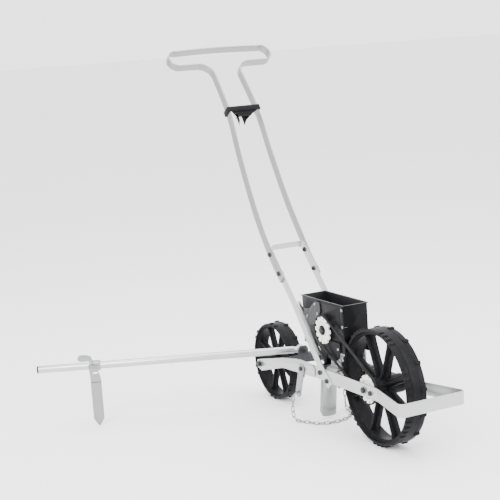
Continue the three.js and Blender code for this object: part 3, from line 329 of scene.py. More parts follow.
def zinc_plate(name, base):
    """Zinc plate: bright, with crystals that differ a little in shade and gloss."""
    finish = Finish(name, metallic=1.0)
    spangle = finish.cells(finish.mapped(), 260.0)
    fine = finish.noise(finish.mapped(), 800.0, 3.0, 0.6)
    finish.colour(finish.blended(
        finish.ranged(spangle, 0.1, 0.6, 0.0, 1.0), scaled(base, 0.84), scaled(base, 1.12)))
    finish.roughness(finish.ranged(fine, 0.3, 0.7, 0.24, 0.4))
    finish.bump(fine, 0.00003, 0.4)
    return finish.material


def studio_floor(name):
    """A pale sheet of studio paper."""
    finish = Finish(name, roughness=0.9)
    broad = finish.noise(finish.mapped(), 1.6, 3.0, 0.5)
    finish.colour(finish.blended(broad, (0.86, 0.86, 0.86, 1), (0.90, 0.90, 0.90, 1)))
    finish.bump(finish.noise(finish.mapped(), 240.0, 2.0, 0.5), 0.0001, 0.1)
    return finish.material


MATERIALS = {}
# For each strip, which way its rolling lines run, as a turn from the length of the machine, and
# how much lighter or darker it is painted than the bare aluminium: painted light and shade.
LEG_SLOPE = math.atan2(LEG_TOP.z - LEG_FOOT.z, LEG_FOOT.x - LEG_TOP.x)
STRIPS = {
    "aluminium_rail": ((0, 0, 0), 1.4),
    "aluminium_leg": ((0, LEG_SLOPE, 0), 1.4),
    "aluminium_handle": ((0, math.radians(61), 0), 0.86),
    "aluminium_upright": ((0, math.radians(90), 0), 0.84),
    "aluminium_arm": ((0, 0, math.radians(ARM["turn"])), 1.5),
}


def make_materials():
    looks = finishes()
    # Painted light and shade: each strip is the one bare aluminium, scaled lighter or darker for
    # how brightly it is lit.
    for name, (turn, painted_light_share) in STRIPS.items():
        MATERIALS[name] = rolled_aluminium(name, turn, scaled(looks.aluminium, painted_light_share))
    for recipe, name, base, *rest in (
            (moulded_plastic, "wheel_plastic", looks.plastic, (0.05, 0.05, 0.049, 1)),
            (moulded_plastic, "small_plastic", looks.plastic, (0.04, 0.04, 0.04, 1), 1800.0,
             (0.30, 0.44), 0.12),
            (moulded_plastic, "white_plastic", looks.white, (0.50, 0.49, 0.46, 1), 1800.0,
             (0.34, 0.48), 0.5, 0.5),
            (black_oxide, "black_steel", looks.steel),
            (powder_coat, "coated_sheet", looks.sheet, 0.0, (0.26, 0.40), 0.02),
            (powder_coat, "dark_bracket", looks.bracket, 0.45, (0.34, 0.50), 0.25),
            (belt_rubber, "belt_rubber", looks.rubber),
            (zinc_plate, "zinc_steel", looks.zinc)):
        MATERIALS[name] = recipe(name, tuple(base), *rest)


# ------------------------------------------------------------------ shapes
def rounded(outline, radius, steps=3):
    """A closed outline with its corners rounded."""
    result = []
    for k, corner in enumerate(outline):
        here = Vector(corner)
        before = Vector(outline[k - 1]) - here
        after = Vector(outline[(k + 1) % len(outline)]) - here
        reach = min(radius, before.length * 0.45, after.length * 0.45)
        start, end = here + before.normalized() * reach, here + after.normalized() * reach
        for i in range(steps + 1):
            t = i / steps
            result.append(tuple(start * (1 - t) ** 2 + here * (2 * t * (1 - t)) + end * t * t))
    return result


def skin(rings, closed=False):
    """A skin over a run of rings that have the same number of points. An open run gets end caps."""
    rows, columns = len(rings), len(rings[0])
    spans = rows if closed else rows - 1
    bm = bmesh.new()
    bmesh.ops.create_grid(bm, x_segments=spans, y_segments=columns, size=1)
    for v in bm.verts:
        i, j = round((v.co.x + 1) / 2 * spans), round((v.co.y + 1) / 2 * columns)
        v.co = rings[i % rows][j % columns]
    bmesh.ops.remove_doubles(bm, verts=bm.verts, dist=1e-4)
    if not closed:
        bmesh.ops.holes_fill(bm, edges=[e for e in bm.edges if e.is_boundary], sides=0)
    bmesh.ops.recalc_face_normals(bm, faces=bm.faces)
    return bm


def soften(bm, width, segments=2, least=28):
    """Rounds every edge that turns by more than an angle in degrees."""
    bm.normal_update()
    sharp = [e for e in bm.edges if e.is_manifold and e.calc_face_angle(0) > math.radians(least)]
    bmesh.ops.bevel(
        bm, geom=sharp, offset=width, offset_type="OFFSET", segments=segments, profile=0.5,
        affect="EDGES", material=-1, clamp_overlap=True)
    bmesh.ops.remove_doubles(bm, verts=bm.verts, dist=1e-3)
    bmesh.ops.dissolve_degenerate(bm, edges=bm.edges, dist=1e-4)
    return bm


def extruded(points, vector, edge=None, segments=2):
    """A solid from a flat outline of points, pulled along a vector."""
    bm = bmesh.new()
    face = bm.faces.new([bm.verts.new(p) for p in points])
    made = bmesh.ops.extrude_face_region(bm, geom=[face])
    far = [part for part in made["geom"] if isinstance(part, bmesh.types.BMVert)]
    bmesh.ops.translate(bm, vec=vector, verts=far)
    bmesh.ops.recalc_face_normals(bm, faces=bm.faces)
    return soften(bm, edge, segments) if edge else bm


def plate_xz(outline, y0, y1, edge=None):
    return extruded([(x, y0, z) for x, z in outline], (0, y1 - y0, 0), edge)


def lathe(profile, steps=64, at=(0, 0), along=None):
    """Turns a closed outline of (radius, y) about the Y axis, then moves it to its place."""
    bm = bmesh.new()
    verts = [bm.verts.new((radius, y, 0)) for radius, y in profile]
    edges = [bm.edges.new(pair) for pair in zip(verts, verts[1:] + verts[:1])]
    bmesh.ops.spin(
        bm, geom=verts + edges, cent=(0, 0, 0), axis=(0, 1, 0), dvec=(0, 0, 0),
        angle=2 * math.pi, steps=steps, use_merge=True)
    bmesh.ops.remove_doubles(bm, verts=bm.verts, dist=1e-4)
    bmesh.ops.dissolve_degenerate(bm, edges=bm.edges, dist=1e-5)
    bmesh.ops.recalc_face_normals(bm, faces=bm.faces)
    return moved(bm, along if along is not None else Matrix.Translation((at[0], 0, at[1])))


def moved(bm, matrix):
    bmesh.ops.transform(bm, matrix=matrix, verts=bm.verts)
    return bm


def copies(part, matrices):
    """One shape, repeated at each of some places."""
    spare = bpy.data.meshes.new("spare")
    part.to_mesh(spare)
    part.free()
    whole = bmesh.new()
    for matrix in matrices:
        one = bmesh.new()
        one.from_mesh(spare)
        moved(one, matrix)
        join_into(whole, one)
    bpy.data.meshes.remove(spare)
    return whole


def join_into(whole, part):
    spare = bpy.data.meshes.new("spare")
    part.to_mesh(spare)
    part.free()
    whole.from_mesh(spare)
    bpy.data.meshes.remove(spare)


def about_y(degrees):
    return Matrix.Rotation(math.radians(degrees), 4, "Y")


def from_node(node, width=None, flat=0.6, least=28):
    """The node's own shape, with its flat faces made whole and its edges rounded."""
    bm = bmesh.new()
    bm.from_mesh(frame["nodes"][node].data)
    moved(bm, FROM_FRAME)
    bmesh.ops.remove_doubles(bm, verts=bm.verts, dist=1e-3)
    bmesh.ops.dissolve_limit(
        bm, angle_limit=math.radians(flat), use_dissolve_boundaries=False, verts=bm.verts,
        edges=bm.edges, delimit=set())
    bmesh.ops.recalc_face_normals(bm, faces=bm.faces)
    return soften(bm, width or edge_mm(), 2, least)


def finish_piece(name, parts, body, material, nodes=(), sharp=32):
    """Joins shapes into one piece, puts it in the frame and gives it its body and finish."""
    whole = bmesh.new()
    for part in parts:
        join_into(whole, part)
    moved(whole, TO_FRAME)
    mesh = bpy.data.meshes.new(name)
    whole.to_mesh(mesh)
    whole.free()
    mesh.shade_smooth()
    mesh.set_sharp_from_angle(angle=math.radians(sharp))
    mesh.materials.append(MATERIALS[material])
    piece = bpy.data.objects.new(name, mesh)
    bpy.context.scene.collection.objects.link(piece)
    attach(piece, body)
    if nodes:
        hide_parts(*nodes)
    return piece


def refine(node, body, material, width=None, least=28, sharp=32):
    """Puts a copy of a node's own shape, with rounded edges, in its place."""
    shape = from_node(node, width, 0.6, least)
    finish_piece(node + "_fine", [shape], body, material, [node], sharp)


def box_mm(node):
    """A node's lowest and highest corners in the drawing frame."""
    low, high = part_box(node)
    return FROM_FRAME @ low, FROM_FRAME @ high


def strip(stations, width, thick, edge):
    """A flat strip through stations, each a point and the way that the strip's width runs."""
    half, deep = width / 2, thick / 2
    section = rounded([(-half, -deep), (half, -deep), (half, deep), (-half, deep)], edge, 3)
    rings, last = [], len(stations) - 1
    for k, (point, across) in enumerate(stations):
        before, after = stations[max(k - 1, 0)][0], stations[min(k + 1, last)][0]
        ways = [way.normalized() for way in (point - before, after - point) if way.length > 1e-9]
        along = (ways[0] + ways[-1]).normalized()
        face = along.cross(across).normalized()
        mitre = 1 / max(along.dot(ways[-1]), 0.5)
        rings.append([point + across * u + face * (v * mitre) for u, v in section])
    return skin(rings)


def smooth_bends(corners, radii, steps=8):
    """An open line with its inner corners rounded to their radii."""
    line = [Vector(corners[0])]
    for k in range(1, len(corners) - 1):
        corner = Vector(corners[k])
        back = (Vector(corners[k - 1]) - corner).normalized()
        on = (Vector(corners[k + 1]) - corner).normalized()
        half = back.angle(on) / 2
        centre = corner + (back + on).normalized() * (radii[k - 1] / math.sin(half))
        start = corner + back * (radii[k - 1] / math.tan(half)) - centre
        end = corner + on * (radii[k - 1] / math.tan(half)) - centre
        turn = start.rotation_difference(end)
        for i in range(steps + 1):
            line.append(centre + Quaternion().slerp(turn, i / steps) @ start)
    line.append(Vector(corners[-1]))
    return line


def hexagon(radius, height):
    """A bolt head or nut that stands on y = 0 and reaches up Y, with a chamfered top."""
    chamfer = 0.9
    corners = [math.radians(60 * k) for k in range(6)]
    points = [(radius * math.cos(angle), radius * math.sin(angle)) for angle in corners]
    rings = []
    for y, share in (
            (0, 0.97), (0.4, 1.0), (height - chamfer, 1.0), (height - 0.25, 0.93), (height, 0.87)):
        rings.append([Vector((x * share, y, z * share)) for x, z in points])
    return skin(rings)


def washer(radius, bore, thick):
    return lathe(rounded([(bore, 0), (radius, 0), (radius, thick), (bore, thick)], 0.25, 2), 40)


def rod(radius, y0, y1, chamfer=0.5, steps=32):
    """A plain rod along Y with chamfered ends."""
    low, high = min(y0, y1), max(y0, y1)
    inner = radius - chamfer
    return lathe([
        (0, low), (inner, low), (radius, low + chamfer), (radius, high - chamfer), (inner, high),
        (0, high)], steps)


def threads(radius, y0, y1, pitch=1.0, steps=24):
    """The screwed end of a bolt, as a stack of shallow ridges."""
    low, high = min(y0, y1), max(y0, y1)
    count = max(2, int((high - low) / pitch))
    profile = [(0, low)]
    for k in range(count):
        base = low + (high - low) * k / count
        profile += [(radius - 0.35, base), (radius, base + pitch * 0.45)]
    return lathe(profile + [(radius - 0.5, high), (0, high)], steps)


def place_along(axis, centre):
    """Moves a shape drawn up the Y axis so that it stands along X or Y at a centre."""
    turn = Matrix.Rotation(math.radians(-90), 4, "Z") if axis == "X" else Matrix.Identity(4)
    return Matrix.Translation(centre) @ turn


def flipped(bm, yes):
    return moved(bm, Matrix.Rotation(math.pi, 4, "X")) if yes else bm


def hex_bolt(node, axis, shank, head_height, outward, turn=0.0, washers=True, head=0.86):
    """A hexagon bolt with its washer, shank and nut, in the place of a node's plain one."""
    low, high = box_mm(node)
    index = 0 if axis == "X" else 1
    centre = (low + high) / 2
    spans = [(top - bottom) / 2 for bottom, top in zip(low, high)]
    reach, radius = spans[index], max(spans[1 - index], spans[2])
    lift = 1.0 if washers else 0.0
    parts, rings = [], []
    for side in (1, -1):
        is_head = side == outward
        top = hexagon(radius * head, head_height - lift)
        moved(top, about_y(turn + (0 if is_head else 17)))
        moved(top, Matrix.Translation((0, reach - head_height + lift, 0)))
        parts.append(flipped(top, side < 0))
        if washers:
            ring = washer(radius * 0.98, shank * 0.9, lift)
            moved(ring, Matrix.Translation((0, reach - head_height, 0)))
            rings.append(moved(flipped(ring, side < 0), place_along(axis, centre)))
        if not is_head:
            end = threads(shank * 0.97, reach - 1.2, reach)
            parts.append(flipped(end, side < 0))
    parts.append(rod(shank, -reach + 1, reach - 1))
    whole = [moved(part, place_along(axis, centre)) for part in parts]
    finish_piece(node + "_fine", whole, "frame", "black_steel", [node])
    if rings:
        finish_piece(node + "_washers", rings, "frame", "zinc_steel")


def pan_screw(node, outward, slot_turn):
    """A pan-head screw along Y with a driver slot, in the place of a node's plain one."""
    low, high = box_mm(node)
    centre = (low + high) / 2
    outer, inner = (high.y, low.y) if outward > 0 else (low.y, high.y)
    head, rise, half = SCREW["head"], SCREW["rise"], SCREW["slot_half"]
    face = outer - outward * rise
    cap = lathe([
        (0, 0), (head, 0), (head, 0.7), (head * 0.93, 1.35), (head * 0.75, 1.95),
        (head * 0.5, rise - 0.12), (0, rise)], 40)
    bed, over = rise - SCREW["slot_depth"], rise + 1
    corners = [(-head, bed, -half), (head, bed, -half), (head, over, -half), (-head, over, -half)]
    cap = subtract(cap, moved(extruded(corners, (0, 0, 2 * half)), about_y(slot_turn)))
    shaft = threads(SCREW["shank"], -abs(face - inner), 0.2)
    place = Matrix.Translation((centre.x, face, centre.z))
    parts = [moved(flipped(part, outward < 0), place) for part in (cap, shaft)]
    finish_piece(node + "_fine", parts, "frame", "zinc_steel", [node])


def subtract(body, tool):
    """Cuts one closed shape out of another."""
    objects = []
    for label, bm in (("body", body), ("tool", tool)):
        bmesh.ops.recalc_face_normals(bm, faces=bm.faces)
        mesh = bpy.data.meshes.new("spare_" + label)
        bm.to_mesh(mesh)
        bm.free()
        spare = bpy.data.objects.new("spare_" + label, mesh)
        bpy.context.scene.collection.objects.link(spare)
        objects.append(spare)
    cut = objects[0].modifiers.new("cut", "BOOLEAN")
    cut.operation, cut.solver, cut.object = "DIFFERENCE", "EXACT", objects[1]
    bpy.context.view_layer.update()
    evaluated = objects[0].evaluated_get(bpy.context.evaluated_depsgraph_get())
    result = bmesh.new()
    result.from_mesh(evaluated.to_mesh())
    for spare in objects:
        mesh = spare.data
        bpy.data.objects.remove(spare)
        bpy.data.meshes.remove(mesh)
    return result


# ------------------------------------------------------------------ stage and camera
CAMERA = {
    "lens": 93.45, "place": (3.02821, -1.47202, 1.04627), "right": (0.46034, 0.88516, -0.06767),
    "up": (-0.11158, 0.13331, 0.98477),
}
LIGHTS = (
    ("key", (2.2, -2.6, 2.8), (2.2, 2.2), 190),
    ("fill", (2.6, 2.4, 1.6), (2.4, 1.6), 60),
    ("top", (-0.4, 0.2, 3.4), (2.8, 2.8), 110),
)
FLOOR = {"half": 90, "below": 0.0005}
SKY = {"colour": (0.94, 0.94, 0.94, 1), "strength": 3.0}


def make_camera():
    data = bpy.data.cameras.new("camera")
    data.sensor_width = 36
    data.lens = CAMERA["lens"]
    data.clip_end = 300
    camera = bpy.data.objects.new("camera", data)
    bpy.context.scene.collection.objects.link(camera)
    right, up = Vector(CAMERA["right"]), Vector(CAMERA["up"])
    back = right.cross(up).normalized()
    up = back.cross(right).normalized()
    turn = Matrix((right.normalized(), up, back)).transposed().to_4x4()
    camera.matrix_world = Matrix.Translation(CAMERA["place"]) @ turn
    bpy.context.scene.camera = camera


def area_light(name, place, target, size, power):
    data = bpy.data.lights.new(name, "AREA")
    data.shape = "RECTANGLE"
    data.size, data.size_y = size
    data.energy = power
    light = bpy.data.objects.new(name, data)
    bpy.context.scene.collection.objects.link(light)
    light.location = place
    facing = Vector(target) - Vector(place)
    light.rotation_euler = facing.to_track_quat("-Z", "Y").to_euler()


def make_stage():
    low, high = (Vector(corner) for corner in CAD_BOUNDS)
    middle = (low + high) / 2
    bm = bmesh.new()
    bmesh.ops.create_grid(bm, x_segments=8, y_segments=8, size=FLOOR["half"])
    bmesh.ops.translate(bm, vec=(middle.x, middle.y, -FLOOR["below"]), verts=bm.verts)
    mesh = bpy.data.meshes.new("floor")
    bm.to_mesh(mesh)
    bm.free()
    mesh.materials.append(studio_floor("studio_floor"))
    floor = bpy.data.objects.new("floor", mesh)
    bpy.context.scene.collection.objects.link(floor)
    world = bpy.data.worlds.new("studio")
    bpy.context.scene.world = world
    world.use_nodes = True
    background = world.node_tree.nodes["Background"]
    background.inputs["Color"].default_value = SKY["colour"]
    background.inputs["Strength"].default_value = SKY["strength"]
    for name, place, size, power in LIGHTS:
        area_light(name, place, middle, size, power)


# ------------------------------------------------------------------ drag chain
def chain_line(step):
    """The chain's route as even steps along a smooth curve."""
    points = [Vector(p) for p in CHAIN]
    padded = [points[0] * 2 - points[1]] + points + [points[-1] * 2 - points[-2]]
    fine = []
    for k in range(1, len(padded) - 2):
        p0, p1, p2, p3 = padded[k - 1:k + 3]
        knots = [0.0]
        for a, b in ((p0, p1), (p1, p2), (p2, p3)):
            knots.append(knots[-1] + max((b - a).length, 1e-6) ** 0.5)
        t0, t1, t2, t3 = knots
        for i in range(24):
            t = t1 + (t2 - t1) * i / 24
            a1 = p0 * ((t1 - t) / (t1 - t0)) + p1 * ((t - t0) / (t1 - t0))
            a2 = p1 * ((t2 - t) / (t2 - t1)) + p2 * ((t - t1) / (t2 - t1))
            a3 = p2 * ((t3 - t) / (t3 - t2)) + p3 * ((t - t2) / (t3 - t2))
            b1 = a1 * ((t2 - t) / (t2 - t0)) + a2 * ((t - t0) / (t2 - t0))
            b2 = a2 * ((t3 - t) / (t3 - t1)) + a3 * ((t - t1) / (t3 - t1))
            fine.append(b1 * ((t2 - t) / (t2 - t1)) + b2 * ((t - t1) / (t2 - t1)))
    fine.append(points[-1])
    total = sum((b - a).length for a, b in zip(fine, fine[1:]))
    count = round(total / step)
    stops, run, target = [fine[0].copy()], 0.0, total / count
    for a, b in zip(fine, fine[1:]):
        length = (b - a).length
        while len(stops) < count and run + length >= target * len(stops):
            stops.append(a + (b - a) * ((target * len(stops) - run) / length))
        run += length
    stops.append(fine[-1].copy())
    return stops, total


def chain_link(middle, along, across, length, width, wire):
    """One oval link of bent wire."""
    normal = along.cross(across).normalized()
    straight, bend = (length - width) / 2, (width - wire) / 2
    centre_line = []
    for end in (1, -1):
        for k in range(6):
            angle = math.radians(-90 + 36 * k)
            centre_line.append((
                end * (straight + bend * math.cos(angle)), end * bend * math.sin(angle)))
    rings = []
    for k, (u, v) in enumerate(centre_line):
        previous, following = centre_line[k - 1], centre_line[(k + 1) % len(centre_line)]
        way = Vector((following[0] - previous[0], following[1] - previous[1])).normalized()
        side = along * way.y - across * way.x
        point = middle + along * u + across * v
        rings.append([
            point + (side * math.cos(a) + normal * math.sin(a)) * (wire / 2)
            for a in (math.radians(60 * j) for j in range(6))])
    return skin(rings, closed=True)


def make_drag_chain():
    pitch, wire = sizes().link_pitch / MM, sizes().link_wire / MM
    stops, total = chain_line(pitch)
    links = []
    for k, (a, b) in enumerate(zip(stops, stops[1:])):
        along = (b - a).normalized()
        side = along.cross(Vector((0, 0, 1)))
        side = Vector((1, 0, 0)) if side.length < 0.2 else side.normalized()
        tilt = Matrix.Rotation(math.radians(45 + (90 if k % 2 else 0)), 3, along)
        links.append(chain_link(
            (a + b) / 2, along, tilt @ side, pitch + 2 * wire + 0.6, CHAIN_DIAMETER, wire))
    piece = finish_piece(
        "drag_chain_links", links, "frame", "zinc_steel", ["drag_chain"], 60)


# ------------------------------------------------------------------ wheels
FRONT_WHEEL = {
    "rim": 150, "half": 29, "inside": 143, "lip": 135, "lip_half": 18, "hub": 24, "hub_near": -44.2,
    "hub_far": 54.5, "spokes": 8, "phase": 22.5, "groups": 7, "per_group": 4, "lug_pitch": 6.5,
    "lug_phase": 7, "bore": 6.3,
}
REAR_WHEEL = {
    "rim": 110.7, "half": 23, "inside": 104.7, "lip": 98.7, "lip_half": 14, "hub": 18,
    "hub_near": -34, "hub_far": 34, "spokes": 8, "phase": 22.5, "groups": 6, "per_group": 2,
    "lug_pitch": 12, "lug_phase": 0, "bore": 6.3,
}


def rim(wheel):
    """The rim: a flat tread with rounded shoulders and a stepped lip inside."""
    half, lip_half = wheel["half"], wheel["lip_half"]
    mid = (wheel["inside"] + wheel["lip"]) / 2
    tread, inside, lip = wheel["rim"], wheel["inside"], wheel["lip"]
    side = [
        (tread, 11.2), (tread - 0.8, 11.8), (tread - 0.8, 12.4), (tread, 13.0),
        (tread, half - 2.6), (tread - 0.8, half - 0.8), (tread - 2.6, half),
        (inside + 1.2, half), (inside, half - 1.2), (inside, lip_half + 3.4),
        (inside - 0.6, lip_half + 2.8), (mid + 0.5, lip_half + 2.8), (mid, lip_half + 2.3),
        (mid, lip_half + 0.4), (mid - 0.4, lip_half), (lip + 0.8, lip_half), (lip, lip_half - 0.8),
    ]
    profile = side + [(radius, -y) for radius, y in reversed(side)]
    return lathe(profile, sizes().rim_steps)


def lugs(wheel):
    """Grouped lugs on both shoulders of the tread."""
    height, length = sizes().lug_height / MM, sizes().lug_length / MM
    inner, outer = wheel["half"] * 0.45, wheel["half"] - 0.2
    top = wheel["rim"] + height
    groups, many = wheel["groups"], wheel["per_group"]
    whole = bmesh.new()
    for sign in (-1, 1):
        base, crown = length / 2 + 0.7, length / 2 - 0.3
        rings = []
        for radius, across, y0, y1 in (
                (wheel["rim"] - 2.2, base, inner, outer - 0.4),
                (wheel["rim"] + 0.1, base, inner, outer),
                (top - 0.5, crown + 0.35, inner + 1.6, outer),
                (top, crown, inner + 2.1, outer - 0.5)):
            rings.append([Vector((radius, sign * y, z)) for y, z in (
                (y0, -across), (y1, -across), (y1, across), (y0, across))])
        if sign < 0:
            turns = [360 / groups * group + wheel["lug_pitch"] * (k - many // 2)
                     for group in range(groups) for k in range(many)]
        else:
            turns = [180 / groups * (k + 0.5) for k in range(groups * 2)]
        one = soften(skin(rings), 0.45, 2, 35)
        join_into(whole, copies(one, [about_y(90 - turn - wheel["lug_phase"]) for turn in turns]))
    return whole


def spokes(wheel):
    """Cross-shaped spokes that widen into the hub and the rim."""
    hub, lip, wide = wheel["hub"] - 3, wheel["lip"] + 2.5, wheel["hub"] * 0.42
    span = lip - hub
    tall = wheel["lip_half"] - 4
    web_line = [
        (0, 1.5), (0.07, 1.12), (0.16, 1.0), (0.5, 0.93), (0.82, 1.0), (0.91, 1.25), (0.96, 1.65),
        (1, 2.3)]
    rib_line = [
        (0, 1.28), (0.07, 1.12), (0.16, 1.0), (0.5, 0.92), (0.84, 0.98), (0.93, 1.08), (1, 1.2)]
    web = [(hub + span * t, wide * w) for t, w in web_line]
    web += [(x, -z) for x, z in reversed(web)]
    rib = [(hub + span * t, tall * w) for t, w in rib_line]
    rib += [(x, -y) for x, y in reversed(rib)]
    cross = plate_xz(web, -2.5, 2.5, 0.9)
    join_into(cross, extruded([(x, y, -3) for x, y in rib], (0, 0, 6), 0.9))
    turns = [wheel["phase"] + 360 / wheel["spokes"] * k for k in range(wheel["spokes"])]
    return copies(cross, [about_y(-turn) for turn in turns])


def hub(wheel):
    """The hub barrel with a sunk face and a raised boss around the bore."""
    near, far = wheel["hub_near"], wheel["hub_far"]
    radius, bore = wheel["hub"], wheel["bore"]
    boss, sink = bore + 5.2, 3.0
    profile = rounded([
        (bore, near), (boss, near), (boss + 0.8, near + sink), (radius - 3.6, near + sink),
        (radius - 3, near), (radius, near), (radius + 0.6, near + 6), (radius + 1.2, 0),
        (radius + 0.6, far - 6), (radius, far), (radius - 3, far), (radius - 3.6, far - sink),
        (boss + 0.8, far - sink), (boss, far), (bore, far)], 0.7, 2)
    return lathe(profile, 72)


def finish_wheel(name, wheel, extra, place):
    parts = [rim(wheel), lugs(wheel), spokes(wheel), hub(wheel), *extra]
    finish_piece(
        name + "_moulding", [moved(part, place) for part in parts], name,
        "wheel_plastic", [name])


def make_wheels():
    finish_wheel("front_wheel", FRONT_WHEEL, [], Matrix.Translation((0, 0, AXLE_Z)))
    spacers = []
    for sign in (-1, 1):
        spacers.append(lathe(rounded(
            [(6.3, sign * 30), (9, sign * 30), (9, sign * 60), (6.3, sign * 60)], 0.6, 2), 40))
    finish_wheel("rear_wheel", REAR_WHEEL, spacers, Matrix.Translation((-WHEELBASE, 0, REAR_Z)))


# ------------------------------------------------------------------ belt drive
def toothed_ring(inner, y0, y1):
    """The toothed rim of a sprocket between two places along Y."""
    step = 2 * math.pi / SPROCKET["teeth"]
    outline = []
    for k in range(SPROCKET["teeth"]):
        for share, radius in (
                (-0.33, SPROCKET["root"]), (-0.26, SPROCKET["tip"]), (0.26, SPROCKET["tip"]),
                (0.33, SPROCKET["root"])):
            angle = (k + share) * step
            outline.append((radius * math.cos(angle), radius * math.sin(angle)))
    outline = rounded(outline, 1.1, 3)
    around = []
    for x, z in outline:
        angle = math.atan2(z, x)
        around.append((inner * math.cos(angle), inner * math.sin(angle)))
    eased = [(x * 0.985, z * 0.985) for x, z in outline]
    rings = [[Vector((x, y, z)) for x, z in line] for line, y in (
        (outline, y0 + 0.5), (eased, y0), (around, y0), (around, y1), (eased, y1),
        (outline, y1 - 0.5))]
    return skin(rings, closed=True)


def sprocket(boss_out):
    """A sprocket's toothed ring, its web with a boss around the bore, and its ribs."""
    boss_radius, bore = 12, SPROCKET["bore"]
    near, far = SPROCKET["y"] - SPROCKET["thick"] / 2, SPROCKET["y"] + SPROCKET["thick"] / 2
    web_near, web_far = near + 2.9, far - 0.6
    web = lathe(rounded([
        (bore, near - boss_out), (boss_radius, near - boss_out), (boss_radius + 0.5, web_near),
        (24.2, web_near), (24.6, near + 0.3), (25.6, near + 0.3), (25.6, far - 0.2),
        (24.4, far - 0.2), (24, web_far), (boss_radius, web_far), (boss_radius, far),
        (bore, far)], 0.35, 2), 72)
    rib = [(boss_radius - 1, -0.9), (24.8, -0.9), (24.8, 0.9), (boss_radius - 1, 0.9)]
    ribs = copies(plate_xz(rib, near + 1.7, web_far, 0.3), [about_y(60 * k) for k in range(6)])
    return [toothed_ring(25.0, near, far), web, ribs]


def make_sprockets():
    near, bore = SPROCKET["y"] - SPROCKET["thick"] / 2, SPROCKET["bore"]
    wheels = (
        ("front_sprocket", "front_wheel", 3.5, (0, AXLE_Z)),
        ("seed_sprocket", "seed_drive", 1.5, (SPROCKET["x"], SPROCKET["z"])))
    for name, body, out, (x, z) in wheels:
        parts = [moved(part, Matrix.Translation((x, 0, z))) for part in sprocket(out)]
        finish_piece(name + "_fine", parts, body, "white_plastic", [name])
    # Painted shade: a black collar and disc laid over each white boss darken the sprocket's centre,
    # standing in for the shade in its recess.
    for name, body, out, centre in wheels:
        face = near - out
        shade_collar = lathe(rounded([
            (9.6, face - 0.5), (13.2, face - 0.5), (13.2, near + 1), (12.1, near + 1),
            (12.1, face - 0.05), (9.6, face - 0.05)], 0.15, 2), 56, centre)
        ring = lathe([
            (bore + 0.1, face - 0.25), (9.7, face - 0.25), (9.7, face - 0.05),
            (bore + 0.1, face - 0.05)], 56, centre)
        finish_piece(name + "_collar", [shade_collar, ring], body, "small_plastic")


def make_belt():
    middle = SPROCKET["tip"] + BELT["clear"] + BELT["thick"] / 2
    heading = math.atan2(SPROCKET["z"] - AXLE_Z, SPROCKET["x"])
    centres = [Vector((0, 0, AXLE_Z)), Vector((SPROCKET["x"], 0, SPROCKET["z"]))]
    stations = []
    for centre, start in zip(centres, (heading + math.pi / 2, heading - math.pi / 2)):
        for k in range(33):
            angle = start + math.pi * k / 32
            out = Vector((math.cos(angle), 0, math.sin(angle)))
            stations.append((centre + out * middle, out))
    wide, deep = BELT["half"], BELT["thick"] / 2
    section = rounded([(-wide, -deep), (wide, -deep), (wide, deep), (-wide, deep)], 0.5, 2)
    line = []
    for k, (point, out) in enumerate(stations):
        line.append((point, out))
        following = stations[(k + 1) % len(stations)][0]
        if (following - point).length > 20:
            line += [(point.lerp(following, i / 40), out) for i in range(1, 40)]
    plane = Vector((0, SPROCKET["y"], 0))
    rings = [
        [point + plane + Vector((0, u, 0)) + out * v for u, v in section] for point, out in line]
    finish_piece(
        "drive_belt_fine", [skin(rings, closed=True)], "frame", "belt_rubber",
        ["drive_belt"])


def make_seed_shaft():
    x, z, bore = SPROCKET["x"], SPROCKET["z"], SPROCKET["bore"]
    shaft = lathe(rounded(
        [(0, -54.5), (6, -54.5), (6, 38.8), (9, 38.8), (9, 41.5), (0, 41.5)], 0.6, 2), 40, (x, z))
    finish_piece(
        "seed_shaft_fine", [shaft], "seed_drive", "black_steel", ["seed_shaft"])
    low, high = box_mm("seed_sprocket_nut")
    thick = 0.9
    nut = flipped(hexagon(10, high.y - low.y - thick), True)
    moved(nut, Matrix.Translation((x, high.y - thick, z)))
    ring = moved(flipped(washer(9.6, bore, thick), True), Matrix.Translation((x, high.y, z)))
    finish_piece(
        "seed_sprocket_nut_fine", [nut, ring], "seed_drive", "black_steel",
        ["seed_sprocket_nut"])
    refine("seed_roller", "seed_drive", "white_plastic", 0.8)
    for name, sign in SIDES:
        outer, inner = sign * 38.5, sign * 33
        bush = lathe(rounded([
            (bore, outer), (10, outer), (10, inner + sign * 1.2), (13, inner + sign * 1.2),
            (13, inner), (bore, inner)], 0.4, 2), 48, (x, z))
        finish_piece(
            f"seed_bush_{name}_fine", [bush], "frame", "small_plastic",
            [f"seed_bush_{name}"])


# ------------------------------------------------------------------ frame
def make_front_frame():
    side, front = RAIL["half"] - RAIL["strip"] / 2, RAIL["front"] - RAIL["strip"] / 2
    line = smooth_bends(
        [(RAIL["rear"], -side, AXLE_Z), (RAIL["flare"], -side, AXLE_Z),
         (front, -RAIL["corner"], AXLE_Z), (front, RAIL["corner"], AXLE_Z),
         (RAIL["flare"], side, AXLE_Z), (RAIL["rear"], side, AXLE_Z)], [60, 12, 12, 60], 10)
    upright = Vector((0, 0, 1))
    rail = strip([(point, upright) for point in line], RAIL["height"], RAIL["strip"], edge_mm())
    finish_piece(
        "front_frame_strip", [rail], "frame", "aluminium_rail", ["front_frame"])


def rounded_link(a, b, radius, steps=20):
    heading = math.atan2(b[1] - a[1], b[0] - a[0])
    points = []
    for centre, start in ((a, heading + math.pi / 2), (b, heading - math.pi / 2)):
        for k in range(steps + 1):
            angle = start + math.pi * k / steps
            points.append((
                centre[0] + radius * math.cos(angle), centre[1] + radius * math.sin(angle)))
    return points


